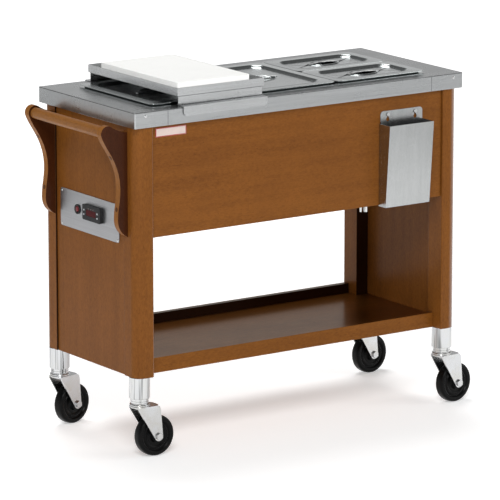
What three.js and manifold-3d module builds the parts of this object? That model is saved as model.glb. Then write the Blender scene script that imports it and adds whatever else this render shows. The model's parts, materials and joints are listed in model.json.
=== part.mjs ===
// Mobile bain-marie and carving trolley: a stainless worktop with a water tank for gastronorm
// pans, a cutting board on a lift-off stand, a wooden body with an open bay and a shelf,
// a push handle, a control plate, a hanging pocket and four swivel casters.
// Millimetres. X runs along the trolley with the handle at -X, Y to its rear, Z up.
import * as THREE from "three";
import { mergeVertices } from "three/addons/utils/BufferGeometryUtils.js";
import Module from "manifold-3d";

const wasm = await Module();
wasm.setup();

// Driving dimensions
const GAP = 0.3; // between pieces that touch
const TOP_LENGTH = 955;
const TOP_WIDTH = 424;
const TOP_HEIGHT = 838; // worktop surface above the floor
const TOP_SKIRT = 38; // height of the folded edge
const SHEET = 1.5; // stainless sheet
const POST_X = 48;
const POST_Y = 56;
const POST_RADIUS = 28; // of the rounded outer corner
const POST_BOTTOM = 198;
const POST_INSET_X = 7; // from the worktop's end to the post
const POST_INSET_Y = 6;
const PANEL_THICK = 10;
const PANEL_INSET = 4; // end panels lie back from the posts
const APRON_THICK = 16;
const APRON_INSET = 7;
const APRON_BOTTOM = 533;
const SHELF_TOP = 217;
const SHELF_FRONT_INSET = 33; // from the posts' front faces
const SHELF_FRONT_TOP = 235;
const SHELF_REAR_TOP = 241;
const RAIL_THICK = 18;

const MODULE_X = 265; // half-size gastronorm module, along the trolley
const MODULE_Y = 325;
const MODULE_GAP = 2;
const PAN_DEPTH = 150;
const PAN_RIM = 12; // width of a pan's flange
const LID_HEIGHT = 8; // lid's rim above the worktop
const CORNER_STEPS = 4;

const WELL = { x: -8, y: -14 }; // middle of the pans from the middle of the worktop
const TANK_X = 395; // half sizes, outside
const TANK_Y = 158;
const TANK_BOTTOM = 638;
const CASING_BOTTOM = 548;

const WHEEL_RADIUS = 50;
const WHEEL_WIDTH = 26;
const CASTER_TRAIL = 40;
const LEG_RADIUS = 25;
const COLLAR_RADIUS = 21.5;
const LEG_SHOULDER = 148;
const HEAD_TOP = 135;
const SWIVEL_DEGREES = { front_left: 0, rear_left: 13, front_right: 6, rear_right: 5 };

const HANDLE_AXIS_X = -525;
const HANDLE_AXIS_Z = 788;
const HANDLE_RADIUS = 13.5;
const BRACKET_THICK = 18;

const STAND_LEFT = -347;
const STAND_LENGTH = 246;
const STAND_LEG_INSET = 4; // legs are a little shorter than the tray
const TRAY_HALF_WIDTH = 195;
const TRAY_BOTTOM = 862;
const TRAY_RIM = 19;
const STAND_LEG_Y = 192;
const STAND_HOOK_Y = 214;
const HOOK_DROP = 20;
const BOARD_X = 204;
const BOARD_Y = 334;
const BOARD_THICK = 30;

const PLATE = { y: 2, z: 559, width: 258, height: 92 };
const CONTROLLER = { y: -18.7, z: 565.5, width: 78, height: 37, proud: 9 };
const ROCKER = { y: 54, z: 563.8, radius: 9 };
const ROCKER_TILT = THREE.MathUtils.degToRad(8);
const POCKET = { x: 300, width: 132, bottom: 531, top: 734, deepTop: 45, deepBottom: 29 };
const POCKET_FLANGE = { width: 126, height: 30 };
const POCKET_SCREWS = [-41, 41];
const POCKET_LIFT = 12;
const DRAIN = { x: 338, y: -2, outlet: 473 }; // in the well's frame

const postOuterX = TOP_LENGTH / 2 - POST_INSET_X;
const postOuterY = TOP_WIDTH / 2 - POST_INSET_Y;
const postInnerX = postOuterX - POST_X;
const postInnerY = postOuterY - POST_Y;
const topUnderside = TOP_HEIGHT - TOP_SKIRT;
const panelFace = postOuterX - PANEL_INSET;
const apronFace = postOuterY - APRON_INSET;
const bracketInnerFace = 151; // half the clear length of the push handle

const finish = (color, roughness, metalness) =>
  new THREE.MeshStandardMaterial({ color, roughness, metalness });
const wood = finish(0x85522a, 0.45, 0);
const steel = finish(0xa6a9ab, 0.32, 1);
const chrome = finish(0xd5d8da, 0.12, 1);
const zinc = finish(0xc9ccce, 0.28, 1);
const brass = finish(0xb59a55, 0.3, 1);
const blackPlastic = finish(0x17181a, 0.45, 0);
const blackRubber = finish(0x121212, 0.6, 0);
const redPlastic = finish(0x7c1216, 0.3, 0);
const redWindow = finish(0x2c0608, 0.1, 0);
const buttonGrey = finish(0xb9bdbf, 0.5, 0);
const whitePlastic = finish(0xf4f4f1, 0.5, 0);

// Shape helpers

// A closed geometry as a solid, turned to face outwards.
function solid(geometry) {
  const bare = geometry.clone();
  bare.deleteAttribute("normal");
  bare.deleteAttribute("uv");
  const merged = mergeVertices(bare, 1e-3);
  const build = (triVerts) =>
    new wasm.Manifold(
      new wasm.Mesh({ numProp: 3, vertProperties: merged.attributes.position.array, triVerts }),
    );
  const triVerts = new Uint32Array(merged.index.array);
  const made = build(triVerts);
  return made.volume() < 0 ? build(triVerts.reverse()) : made;
}

function geometryOf(manifold) {
  const mesh = manifold.getMesh();
  const geometry = new THREE.BufferGeometry();
  geometry.setAttribute("position", new THREE.BufferAttribute(mesh.vertProperties, 3));
  geometry.setIndex(new THREE.BufferAttribute(mesh.triVerts, 1));
  geometry.computeVertexNormals();
  return geometry;
}

// Joins the first list of geometries and cuts away the second.
function shaped(add, remove = []) {
  let made = add.map(solid).reduce((a, b) => a.add(b));
  for (const tool of remove) made = made.subtract(solid(tool));
  return geometryOf(made);
}

function box(x0, x1, y0, y1, z0, z1) {
  const geometry = new THREE.BoxGeometry(x1 - x0, y1 - y0, z1 - z0);
  return geometry.translate((x0 + x1) / 2, (y0 + y1) / 2, (z0 + z1) / 2);
}

// An upright prism of a plan outline between two heights.
function prism(shape, z0, z1, curveSegments = 8) {
  const geometry = new THREE.ExtrudeGeometry(shape, {
    depth: z1 - z0,
    bevelEnabled: false,
    curveSegments,
  });
  return geometry.translate(0, 0, z0);
}

// A prism whose outline lies in the XZ plane, between two Y planes.
function slabXZ(shape, y0, y1, curveSegments = 8) {
  return prism(shape, -y1, -y0, curveSegments).rotateX(Math.PI / 2);
}

// A prism whose outline is drawn as (y, z), between two X planes.
function slabYZ(shape, x0, x1, curveSegments = 8) {
  return prism(shape, x0, x1, curveSegments).rotateX(Math.PI / 2).rotateZ(Math.PI / 2);
}

function roundedRectangle(cx, cy, width, height, radius) {
  const shape = new THREE.Shape();
  const [x, y] = [cx - width / 2, cy - height / 2];
  shape.moveTo(x + radius, y);
  shape.lineTo(x + width - radius, y);
  shape.absarc(x + width - radius, y + radius, radius, -Math.PI / 2, 0);
  shape.absarc(x + width - radius, y + height - radius, radius, 0, Math.PI / 2);
  shape.absarc(x + radius, y + height - radius, radius, Math.PI / 2, Math.PI);
  shape.absarc(x + radius, y + radius, radius, Math.PI, 1.5 * Math.PI);
  return shape;
}

// A solid of revolution about +Z from [radius, height] pairs.
function turned(profile, segments = 28) {
  const points = profile.map(([r, z]) => new THREE.Vector2(r, z));
  return new THREE.LatheGeometry(points, segments).rotateX(Math.PI / 2);
}

function rod(radius, z0, z1, segments = 24) {
  return turned([[0, z0], [radius, z0], [radius, z1], [0, z1]], segments);
}

const alongX = (geometry) => geometry.rotateY(Math.PI / 2);
const alongY = (geometry) => geometry.rotateX(-Math.PI / 2);

// A rounded rectangle's outline as a ring of points at one height.
function ring(halfX, halfY, radius, z) {
  const points = [];
  for (let corner = 0; corner < 4; corner++) {
    const sx = corner === 0 || corner === 3 ? 1 : -1;
    const sy = corner < 2 ? 1 : -1;
    for (let step = 0; step <= CORNER_STEPS; step++) {
      const angle = ((corner + step / CORNER_STEPS) * Math.PI) / 2;
      const x = sx * (halfX - radius) + radius * Math.cos(angle);
      const y = sy * (halfY - radius) + radius * Math.sin(angle);
      points.push(new THREE.Vector3(x, y, z));
    }
  }
  return points;
}

// A closed skin through rings that follow one another, with a flat cap on the first and last.
function skin(rings) {
  const count = rings[0].length;
  const positions = rings.flat().flatMap((p) => [p.x, p.y, p.z]);
  const index = [];
  for (let r = 0; r + 1 < rings.length; r++) {
    for (let i = 0; i < count; i++) {
      const [a, b] = [r * count + i, r * count + ((i + 1) % count)];
      index.push(a, b, b + count, a, b + count, a + count);
    }
  }
  const last = (rings.length - 1) * count;
  for (let i = 1; i + 1 < count; i++) {
    index.push(0, i + 1, i);
    index.push(last, last + i, last + i + 1);
  }
  const geometry = new THREE.BufferGeometry();
  geometry.setAttribute("position", new THREE.Float32BufferAttribute(positions, 3));
  geometry.setIndex(index);
  return geometry;
}

const unit = new THREE.Group();

function place(name, geometry, material, parent = unit) {
  const mesh = new THREE.Mesh(geometryOf(solid(geometry)), material);
  mesh.name = name;
  parent.add(mesh);
  return mesh;
}

const CORNERS = {
  front_left: [-1, -1],
  rear_left: [-1, 1],
  front_right: [1, -1],
  rear_right: [1, 1],
};

// Wooden body

function postGeometry() {
  const shape = new THREE.Shape();
  const arris = 2;
  shape.moveTo(postInnerX, postInnerY);
  shape.lineTo(postOuterX, postInnerY);
  shape.lineTo(postOuterX, postOuterY - POST_RADIUS);
  const [cx, cy] = [postOuterX - POST_RADIUS, postOuterY - POST_RADIUS];
  shape.absarc(cx, cy, POST_RADIUS, 0, Math.PI / 2);
  shape.lineTo(postInnerX + arris, postOuterY);
  shape.lineTo(postInnerX, postOuterY - arris);
  return prism(shape, POST_BOTTOM, topUnderside - GAP, 10);
}

for (const [corner, [sx, sy]] of Object.entries(CORNERS)) {
  place("post_" + corner, postGeometry(), wood).scale.set(sx, sy, 1);
}

function endPanel(side, remove = []) {
  const half = postInnerY - GAP;
  const faces = [side * (panelFace - PANEL_THICK), side * panelFace].sort((a, b) => a - b);
  return shaped([box(...faces, -half, half, POST_BOTTOM, topUnderside - GAP)], remove);
}

// The left panel is open behind the control plate.
const plateOpening = box(
  -postOuterX, -postInnerX,
  PLATE.y - PLATE.width / 2 + 18, PLATE.y + PLATE.width / 2 - 18,
  PLATE.z - PLATE.height / 2 + 16, PLATE.z + PLATE.height / 2 - 16,
);
place("end_panel_left", endPanel(-1, [plateOpening]), wood);
place("end_panel_right", endPanel(1), wood);

for (const [name, side] of [["apron_front", -1], ["apron_rear", 1]]) {
  const faces = [side * (apronFace - APRON_THICK), side * apronFace].sort((a, b) => a - b);
  const half = postInnerX - GAP;
  place(name, box(-half, half, ...faces, APRON_BOTTOM, topUnderside - GAP), wood);
}

function shelfGeometry() {
  const half = postInnerX - GAP;
  const wide = panelFace - PANEL_THICK - GAP;
  const front = -postOuterY + SHELF_FRONT_INSET;
  const rearFace = apronFace - APRON_THICK;
  const underside = SHELF_TOP - RAIL_THICK;
  return shaped([
    box(-half, half, front + 1, rearFace + 1, underside, SHELF_TOP),
    box(-wide, wide, -postInnerY + GAP, postInnerY - GAP, underside, SHELF_TOP),
    box(-half, half, front, front + RAIL_THICK, POST_BOTTOM, SHELF_FRONT_TOP),
    box(-half, half, rearFace, apronFace, POST_BOTTOM, SHELF_REAR_TOP),
  ]);
}
place("shelf", shelfGeometry(), wood);

// Push handle: two shaped brackets screwed to the left posts, and a round bar between them

function bracketShape() {
  const foot = -postOuterX - GAP;
  const lobe = 18;
  const shape = new THREE.Shape();
  shape.moveTo(foot, 786);
  shape.quadraticCurveTo(foot - 24, 789, HANDLE_AXIS_X + 7, HANDLE_AXIS_Z + lobe * 0.92);
  shape.absarc(HANDLE_AXIS_X, HANDLE_AXIS_Z, lobe, 1.17, Math.PI * 1.08);
  shape.bezierCurveTo(foot - 62, 752, foot - 22, 720, foot - 20, 655);
  shape.bezierCurveTo(foot - 20, 620, foot - 27, 610, foot - 27, 578);
  shape.bezierCurveTo(foot - 27, 556, foot - 14, 543, foot, 536);
  return shape;
}

for (const [name, y] of [
  ["handle_bracket_front", -bracketInnerFace - BRACKET_THICK],
  ["handle_bracket_rear", bracketInnerFace],
]) {
  place(name, slabXZ(bracketShape(), y, y + BRACKET_THICK, 10), wood);
}
const barHalf = bracketInnerFace - GAP;
const bar = alongY(rod(HANDLE_RADIUS, -barHalf, barHalf, 28));
place("handle_bar", bar.translate(HANDLE_AXIS_X, 0, HANDLE_AXIS_Z), wood);

// Worktop, tank and what hangs in it

const pansHalfX = (3 * MODULE_X) / 2 + MODULE_GAP;
const openingX = pansHalfX - 10;
const openingY = MODULE_Y / 2 - 10;

function worktopGeometry() {
  const [hx, hy] = [TOP_LENGTH / 2, TOP_WIDTH / 2];
  const returnFlange = 14;
  return shaped(
    [prism(roundedRectangle(0, 0, TOP_LENGTH, TOP_WIDTH, 3), topUnderside, TOP_HEIGHT, 3)],
    [
      box(-hx + SHEET, hx - SHEET, -hy + SHEET, hy - SHEET,
        topUnderside + SHEET, TOP_HEIGHT - SHEET),
      box(-hx + returnFlange, hx - returnFlange, -hy + returnFlange, hy - returnFlange,
        topUnderside - 1, TOP_HEIGHT - SHEET),
      prism(roundedRectangle(WELL.x, WELL.y, 2 * openingX, 2 * openingY, 12),
        topUnderside, TOP_HEIGHT + 1, 4),
    ],
  );
}
place("worktop", worktopGeometry(), steel);

const well = new THREE.Group();
well.position.set(WELL.x, WELL.y, 0);
unit.add(well);

const heaterY = 60;
const heaterZ = TANK_BOTTOM + 18;
const probe = { y: 110, z: TANK_BOTTOM + 14 };

function tankGeometry() {
  const rimTop = TOP_HEIGHT - SHEET - GAP;
  const wall = 2;
  const flange = 8;
  const sideHole = (y, z, r) => alongX(rod(r, -6, 6, 16)).translate(-TANK_X, y, z);
  return shaped(
    [
      prism(roundedRectangle(0, 0, 2 * TANK_X, 2 * TANK_Y, 14), TANK_BOTTOM, rimTop, 5),
      prism(roundedRectangle(0, 0, 2 * (TANK_X + flange), 2 * (TANK_Y + flange), 20),
        rimTop - SHEET, rimTop, 5),
    ],
    [
      prism(roundedRectangle(0, 0, 2 * (TANK_X - wall), 2 * (TANK_Y - wall), 12),
        TANK_BOTTOM + wall, rimTop + 1, 5),
      sideHole(-heaterY, heaterZ, 4.6),
      sideHole(heaterY, heaterZ, 4.6),
      sideHole(probe.y, probe.z, 3.6),
      rod(8, TANK_BOTTOM - 1, TANK_BOTTOM + wall + 1, 16).translate(DRAIN.x, DRAIN.y, 0),
    ],
  );
}
place("water_tank", tankGeometry(), steel, well);

// Bars across the tank carry the pans' long sides, and one more parts the two quarter pans.
function panSupportGeometry() {
  const half = 6;
  const low = TOP_HEIGHT - 14;
  const mid = TOP_HEIGHT - SHEET - GAP;
  const high = TOP_HEIGHT - GAP;
  const [reachY, reachX] = [TANK_Y - 2 - 1.3, TANK_X - 2 - 1.3];
  const crossX = MODULE_X / 2 + MODULE_GAP / 2;
  const cross = (x) => [
    box(x - half, x + half, -reachY, reachY, low, mid),
    box(x - half, x + half, -openingY + 1, openingY - 1, low, high),
  ];
  return [cross(-crossX), cross(crossX), [
    box(crossX, reachX, -half, half, low, mid),
    box(crossX, openingX - 1, -half, half, low, high),
  ]];
}
const [leftBar, rightBar, dividerBar] = panSupportGeometry();
place("pan_bar_left", shaped(leftBar), steel, well);
place("pan_bar_right", shaped([...rightBar, ...dividerBar]), steel, well);

function panGeometry(halfX, halfY) {
  const wall = 1.3;
  const low = TOP_HEIGHT + GAP;
  const high = low + wall;
  const bottom = TOP_HEIGHT - PAN_DEPTH;
  const [bx, by] = [halfX - PAN_RIM, halfY - PAN_RIM];
  const taper = 8;
  return skin([
    ring(bx - taper - 12, by - taper - 12, 22, bottom + wall),
    ring(bx - taper - wall, by - taper - wall, 30, bottom + wall + 12),
    ring(bx - wall, by - wall, 34, high),
    ring(halfX, halfY, 14, high),
    ring(halfX, halfY, 14, low),
    ring(bx, by, 34, low),
    ring(bx - taper, by - taper, 31, bottom + 13),
    ring(bx - taper - 12, by - taper - 12, 22, bottom),
  ]);
}

// A pressed lid with a bead that sits on the pan, a sunk field and a bowl with a grip across it.
function lidGeometry(halfX, halfY, bowlX, bowlY) {
  const sheet = 1.4;
  const rim = TOP_HEIGHT + LID_HEIGHT;
  const bead = TOP_HEIGHT + GAP + 1.3 + GAP;
  const sunk = rim - 5;
  const [x, y] = [halfX - 0.5, halfY - 0.5];
  const fieldInset = 26;
  const plate = skin([
    ring(x - fieldInset - 5, y - fieldInset - 5, 14, sunk),
    ring(x - fieldInset, y - fieldInset, 19, rim),
    ring(x - 0.7, y - 0.7, 13.3, rim),
    ring(x, y, 14, rim - 0.7),
    ring(x, y, 14, rim - sheet),
    ring(x - 3, y - 3, 12, rim - sheet),
    ring(x - 4, y - 4, 12, bead),
    ring(x - 9, y - 9, 12, bead),
    ring(x - 10, y - 10, 12, rim - sheet),
    ring(x - fieldInset - 1, y - fieldInset - 1, 18, rim - sheet),
    ring(x - fieldInset - 6, y - fieldInset - 6, 13, sunk - sheet),
  ]);
  const bowlDeep = 12;
  const ellipsoid = (grow) =>
    new THREE.SphereGeometry(1, 18, 6).scale(bowlX + grow, bowlY + grow, bowlDeep + grow)
      .translate(0, 0, sunk);
  const dish = solid(ellipsoid(sheet)).subtract(
    solid(box(-halfX, halfX, -halfY, halfY, sunk - GAP, rim + 20)),
  );
  const grip = slabXZ(gripShape(bowlX, sunk), -5, 5, 6);
  return geometryOf(
    solid(plate).add(dish).subtract(solid(ellipsoid(0))).add(solid(grip)),
  );
}

// The grip is a low strap that arches over the bowl from end to end.
function gripShape(bowlX, sunk) {
  const reach = bowlX + 3;
  const thick = 1.6;
  const shape = new THREE.Shape();
  shape.moveTo(-reach, sunk - 1);
  shape.quadraticCurveTo(0, sunk + 5, reach, sunk - 1);
  shape.lineTo(reach, sunk - 1 + thick);
  shape.quadraticCurveTo(0, sunk + 5 + thick, -reach, sunk - 1 + thick);
  return shape;
}

const pitch = MODULE_X + MODULE_GAP;
const quarterY = (MODULE_Y - MODULE_GAP) / 2;
const HALF_LID_BOWL = [64, 44];
const QUARTER_LID_BOWL = [42, 28];
const PANS = {
  left: { x: -pitch, y: 0, sizeY: MODULE_Y },
  middle: { x: 0, y: 0, sizeY: MODULE_Y },
  right_front: { x: pitch, y: -(quarterY + MODULE_GAP) / 2, sizeY: quarterY },
  right_rear: { x: pitch, y: (quarterY + MODULE_GAP) / 2, sizeY: quarterY },
};
for (const [name, pan] of Object.entries(PANS)) {
  const half = [MODULE_X / 2, pan.sizeY / 2];
  const bowl = pan.sizeY > quarterY ? HALF_LID_BOWL : QUARTER_LID_BOWL;
  place("pan_" + name, panGeometry(...half), steel, well).position.set(pan.x, pan.y, 0);
  place("lid_" + name, lidGeometry(...half, ...bowl), steel, well)
    .position.set(pan.x, pan.y, 0);
}

// A U of tube that carries the heater, with the flange it is bolted to the tank by.
function heaterGeometry() {
  const start = -TANK_X - 4;
  const bend = 280;
  const path = new THREE.CurvePath();
  const at = (x, y) => new THREE.Vector3(x, y, heaterZ);
  path.add(new THREE.LineCurve3(at(start, -heaterY), at(bend, -heaterY)));
  const handle = (heaterY * 4) / 3;
  path.add(new THREE.CubicBezierCurve3(
    at(bend, -heaterY), at(bend + handle, -heaterY), at(bend + handle, heaterY), at(bend, heaterY),
  ));
  path.add(new THREE.LineCurve3(at(bend, heaterY), at(start, heaterY)));
  const section = new THREE.Shape().absarc(0, 0, 4, 0, 2 * Math.PI);
  const tube = new THREE.ExtrudeGeometry(section, { steps: 30, curveSegments: 3, extrudePath: path });
  const flange = box(start - 3, -TANK_X - GAP, -heaterY - 14, heaterY + 14, heaterZ - 12, heaterZ + 12);
  return shaped([tube, flange]);
}
place("heating_element", heaterGeometry(), chrome, well);

const probeGeometry = shaped([rod(3, 0, 78, 12), rod(7, 0, 5, 6)]);
place("temperature_probe", alongX(probeGeometry), brass, well)
  .position.set(-TANK_X - GAP - 5, probe.y, probe.z);

// Casing under the tank, for the wiring and the insulation
const casing = { x: 360, y: 140, top: TANK_BOTTOM - GAP };
const gland = { x: -320, y: 95 };
place("under_tank_casing", shaped(
  [box(-casing.x, casing.x, -casing.y, casing.y, CASING_BOTTOM, casing.top)],
  [
    box(-casing.x + SHEET, casing.x - SHEET, -casing.y + SHEET, casing.y - SHEET,
      CASING_BOTTOM + SHEET, casing.top + 1),
    rod(7, CASING_BOTTOM - 1, CASING_BOTTOM + 3, 16).translate(DRAIN.x, DRAIN.y, 0),
    rod(8.5, CASING_BOTTOM - 1, CASING_BOTTOM + 3, 16).translate(gland.x, gland.y, 0),
  ],
), steel, well);

// Cable inlet: a gland in the casing's floor
place("cable_gland", shaped([
  rod(8, CASING_BOTTOM - 6, CASING_BOTTOM + 8, 16),
  rod(13, CASING_BOTTOM - 7, CASING_BOTTOM - GAP, 6),
  turned([[0, CASING_BOTTOM - 22], [7, CASING_BOTTOM - 22], [11, CASING_BOTTOM - 7],
    [0, CASING_BOTTOM - 7]], 16),
], [rod(4, CASING_BOTTOM - 23, CASING_BOTTOM + 9, 12)]), blackPlastic, well)
  .position.set(gland.x, gland.y, 0);

// Drain: a pipe from the tank with a cock, and the cock's lever beside it
const cock = { z: 512, half: 11 };
place("drain_valve", shaped([
  rod(5.5, DRAIN.outlet, TANK_BOTTOM - GAP, 16),
  box(-cock.half, cock.half, -cock.half, cock.half, cock.z - 12, cock.z + 12),
  alongX(rod(3, -cock.half - 7, 0, 12)).translate(0, 0, cock.z),
]), brass, well).position.set(DRAIN.x, DRAIN.y, 0);

function leverShape() {
  const shape = new THREE.Shape();
  const length = cock.z - DRAIN.outlet - 1;
  shape.absarc(0, 0, 7, 0, Math.PI);
  shape.lineTo(-3.5, -length);
  shape.lineTo(3.5, -length);
  return shape;
}
const lever = shaped([slabYZ(leverShape(), -2, 2, 8)], [alongX(rod(3.2, -3, 3, 12))]);
place("drain_lever", lever, redPlastic, well)
  .position.set(DRAIN.x - cock.half - 4, DRAIN.y, cock.z);

// Control plate on the left end panel: a rocker switch and a digital thermostat

const plateBack = -panelFace - GAP;
const plateFace = plateBack - SHEET;
const controllerCut = { width: CONTROLLER.width - 7, height: CONTROLLER.height - 7 };

place("control_plate", shaped(
  [slabYZ(roundedRectangle(PLATE.y, PLATE.z, PLATE.width, PLATE.height, 7), plateFace, plateBack, 4)],
  [
    box(plateFace - 1, plateBack + 1,
      CONTROLLER.y - controllerCut.width / 2 - GAP, CONTROLLER.y + controllerCut.width / 2 + GAP,
      CONTROLLER.z - controllerCut.height / 2 - GAP, CONTROLLER.z + controllerCut.height / 2 + GAP),
    alongX(rod(ROCKER.radius + 0.8, plateFace - 1, plateBack + 1)).translate(0, ROCKER.y, ROCKER.z),
  ],
), steel);

// Rocker switch: a round bezel and body, and the red rocker that tilts in it
const rockerFace = plateFace - GAP - 2.5;
const rockerPivot = plateBack + 3;
function rockerBezel() {
  const profile = [
    [ROCKER.radius, 0], [ROCKER.radius + 3, 0], [ROCKER.radius + 3, 2.2], [ROCKER.radius + 0.5, 2.5],
    [ROCKER.radius + 0.5, 22], [0, 22], [0, 12], [ROCKER.radius - 0.8, 12],
    [ROCKER.radius - 0.8, 0.6], [ROCKER.radius, 0],
  ];
  const body = turned(profile, 20);
  return alongX(body).translate(rockerFace, 0, 0);
}
place("switch_bezel", rockerBezel(), blackPlastic).position.set(0, ROCKER.y, ROCKER.z);

function rockerCap() {
  const reach = ROCKER.radius - 2.5;
  const depth = rockerPivot - rockerFace;
  const rounded = solid(alongX(rod(reach, -depth - 1, 2.5, 20)));
  const lens = solid(new THREE.SphereGeometry(depth + 2.2, 24, 14));
  return geometryOf(rounded.intersect(lens));
}
const rocker = place("rocker_switch", rockerCap(), redPlastic);
rocker.position.set(rockerPivot, ROCKER.y, ROCKER.z);
rocker.rotation.y = ROCKER_TILT;

// Thermostat: body with four sprung buttons and a display window
const thermostatFace = plateFace - CONTROLLER.proud;
const BUTTONS = { 1: [31.5, 5.2], 2: [31.5, -5.5], 3: [-26.9, 4], 4: [-26.9, -6.9] };
const buttonRadius = 2.1;
const buttonTravel = 1;
const windowSize = { y: 42, z: 14.5, shiftY: 1.5, shiftZ: 0, deep: 2 };

function thermostatGeometry() {
  const half = { y: CONTROLLER.width / 2, z: CONTROLLER.height / 2 };
  const bezel = slabYZ(
    roundedRectangle(0, 0, 2 * half.y, 2 * half.z, 4), thermostatFace, plateFace - GAP, 4);
  const body = box(plateFace - 1, plateFace + 46, -controllerCut.width / 2, controllerCut.width / 2,
    -controllerCut.height / 2, controllerCut.height / 2);
  const wells = Object.values(BUTTONS).map(([y, z]) =>
    alongX(rod(buttonRadius + GAP, thermostatFace - 1, thermostatFace + 4, 14)).translate(0, y, z));
  const window = box(thermostatFace - 1, thermostatFace + windowSize.deep,
    windowSize.shiftY - windowSize.y / 2 - GAP, windowSize.shiftY + windowSize.y / 2 + GAP,
    windowSize.shiftZ - windowSize.z / 2 - GAP, windowSize.shiftZ + windowSize.z / 2 + GAP);
  return shaped([bezel, body], [...wells, window]);
}
const thermostat = new THREE.Group();
thermostat.position.set(0, CONTROLLER.y, CONTROLLER.z);
unit.add(thermostat);
place("thermostat", thermostatGeometry(), blackPlastic, thermostat);
place("display_window", box(
  thermostatFace + 0.2, thermostatFace + windowSize.deep - GAP,
  windowSize.shiftY - windowSize.y / 2, windowSize.shiftY + windowSize.y / 2,
  windowSize.shiftZ - windowSize.z / 2, windowSize.shiftZ + windowSize.z / 2,
), redWindow, thermostat);
for (const [number, [y, z]] of Object.entries(BUTTONS)) {
  const button = alongX(rod(buttonRadius, -1.2, 4 - GAP - buttonTravel, 14));
  place("button_" + number, button, buttonGrey, thermostat).position.set(thermostatFace, y, z);
}

// Cutting board and the stand that carries it across the worktop

// One folded leg of the stand: an upright plate, a foot on the worktop and a lip over its edge.
function standLegGeometry(side, x0, x1) {
  const foot = TOP_HEIGHT + 0.6;
  const low = TOP_HEIGHT - HOOK_DROP;
  const top = TRAY_BOTTOM + SHEET / 2;
  const profile = [
    [STAND_LEG_Y - SHEET, foot], [STAND_LEG_Y - SHEET, top], [STAND_LEG_Y, top],
    [STAND_LEG_Y, foot + SHEET], [STAND_HOOK_Y + SHEET, foot + SHEET],
    [STAND_HOOK_Y + SHEET, low], [STAND_HOOK_Y, low], [STAND_HOOK_Y, foot],
  ].map(([y, z]) => new THREE.Vector2(side * y, z));
  const faces = [side * (STAND_HOOK_Y - 1), side * (STAND_HOOK_Y + SHEET + 1)].sort((p, q) => p - q);
  const cutters = [[x0, 1], [x1, -1]].map(([x, turn]) => slabXZ(lipCorner(x, low, turn), ...faces, 5));
  return shaped([slabYZ(new THREE.Shape(profile), x0, x1)], cutters);
}

// What is cut off a lip's lower corner to round it; turn is 1 at its left end and -1 at its right.
function lipCorner(x, low, turn) {
  const radius = 9;
  const shape = new THREE.Shape();
  shape.moveTo(x - turn, low - 1);
  shape.lineTo(x + turn * radius, low - 1);
  shape.lineTo(x + turn * radius, low);
  shape.absarc(x + turn * radius, low + radius, radius,
    -Math.PI / 2, turn > 0 ? -Math.PI : 0, turn > 0);
  shape.lineTo(x - turn, low + radius);
  return shape;
}

function boardStandGeometry() {
  const [x0, x1] = [STAND_LEFT, STAND_LEFT + STAND_LENGTH];
  const rimTop = TRAY_BOTTOM + TRAY_RIM;
  const wall = (z0, z1, inset) => box(
    x0 + inset, x1 - inset, -TRAY_HALF_WIDTH + inset, TRAY_HALF_WIDTH - inset, z0, z1);
  const legs = [-1, 1].map((side) =>
    standLegGeometry(side, x0 + STAND_LEG_INSET, x1 - STAND_LEG_INSET));
  const tray = shaped([wall(TRAY_BOTTOM, rimTop, 0)], [wall(TRAY_BOTTOM + SHEET, rimTop + 1, SHEET)]);
  return shaped([tray, ...legs]);
}
place("board_stand", boardStandGeometry(), steel);

const boardLeft = STAND_LEFT + SHEET + GAP;
const boardFront = -TRAY_HALF_WIDTH + SHEET + GAP;
const boardOutline = roundedRectangle(
  boardLeft + BOARD_X / 2, boardFront + BOARD_Y / 2, BOARD_X, BOARD_Y, 3);
const boardBottom = TRAY_BOTTOM + SHEET + GAP;
place("cutting_board", prism(boardOutline, boardBottom, boardBottom + BOARD_THICK, 3), whitePlastic);

// Pocket: a tapered box that hangs on two screws by keyholes in its flange

function pocketGeometry() {
  const back = -apronFace - 0.5;
  const half = POCKET.width / 2;
  const outline = (inset) => {
    const shape = new THREE.Shape();
    const rise = inset ? 40 : 0; // the inner cut runs out of the open top
    const slope = (POCKET.deepTop - POCKET.deepBottom) / (POCKET.top - POCKET.bottom);
    const depthAt = (z) => POCKET.deepBottom + slope * (z - POCKET.bottom);
    const [low, high] = [POCKET.bottom + inset, POCKET.top + rise];
    shape.moveTo(back - inset, low);
    shape.lineTo(back - inset, high);
    shape.lineTo(back - depthAt(high) + inset, high);
    shape.lineTo(back - depthAt(low) + inset, low);
    return shape;
  };
  const flange = new THREE.Shape();
  const [fw, top] = [POCKET_FLANGE.width / 2, POCKET.top + POCKET_FLANGE.height];
  flange.moveTo(-fw, POCKET.top - 10);
  flange.lineTo(fw, POCKET.top - 10);
  flange.lineTo(fw, top - 9);
  flange.absarc(fw - 9, top - 9, 9, 0, Math.PI / 2);
  flange.absarc(-fw + 9, top - 9, 9, Math.PI / 2, Math.PI);
  const screwZ = top - 9;
  const keyholes = POCKET_SCREWS.flatMap((x) => [
    box(x - 2.4, x + 2.4, back - 5, back + 5, screwZ - POCKET_LIFT, screwZ),
    alongY(rod(2.4, -5, 5, 14)).translate(x, back, screwZ),
    alongY(rod(5, -5, 5, 16)).translate(x, back, screwZ - POCKET_LIFT),
  ]);
  const shell = shaped(
    [slabYZ(outline(0), -half, half)], [slabYZ(outline(SHEET), -half + SHEET, half - SHEET)]);
  return shaped([shell, slabXZ(flange, back - SHEET, back, 4)], keyholes);
}
place("pocket", pocketGeometry(), steel).position.set(POCKET.x, 0, 0);

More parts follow.
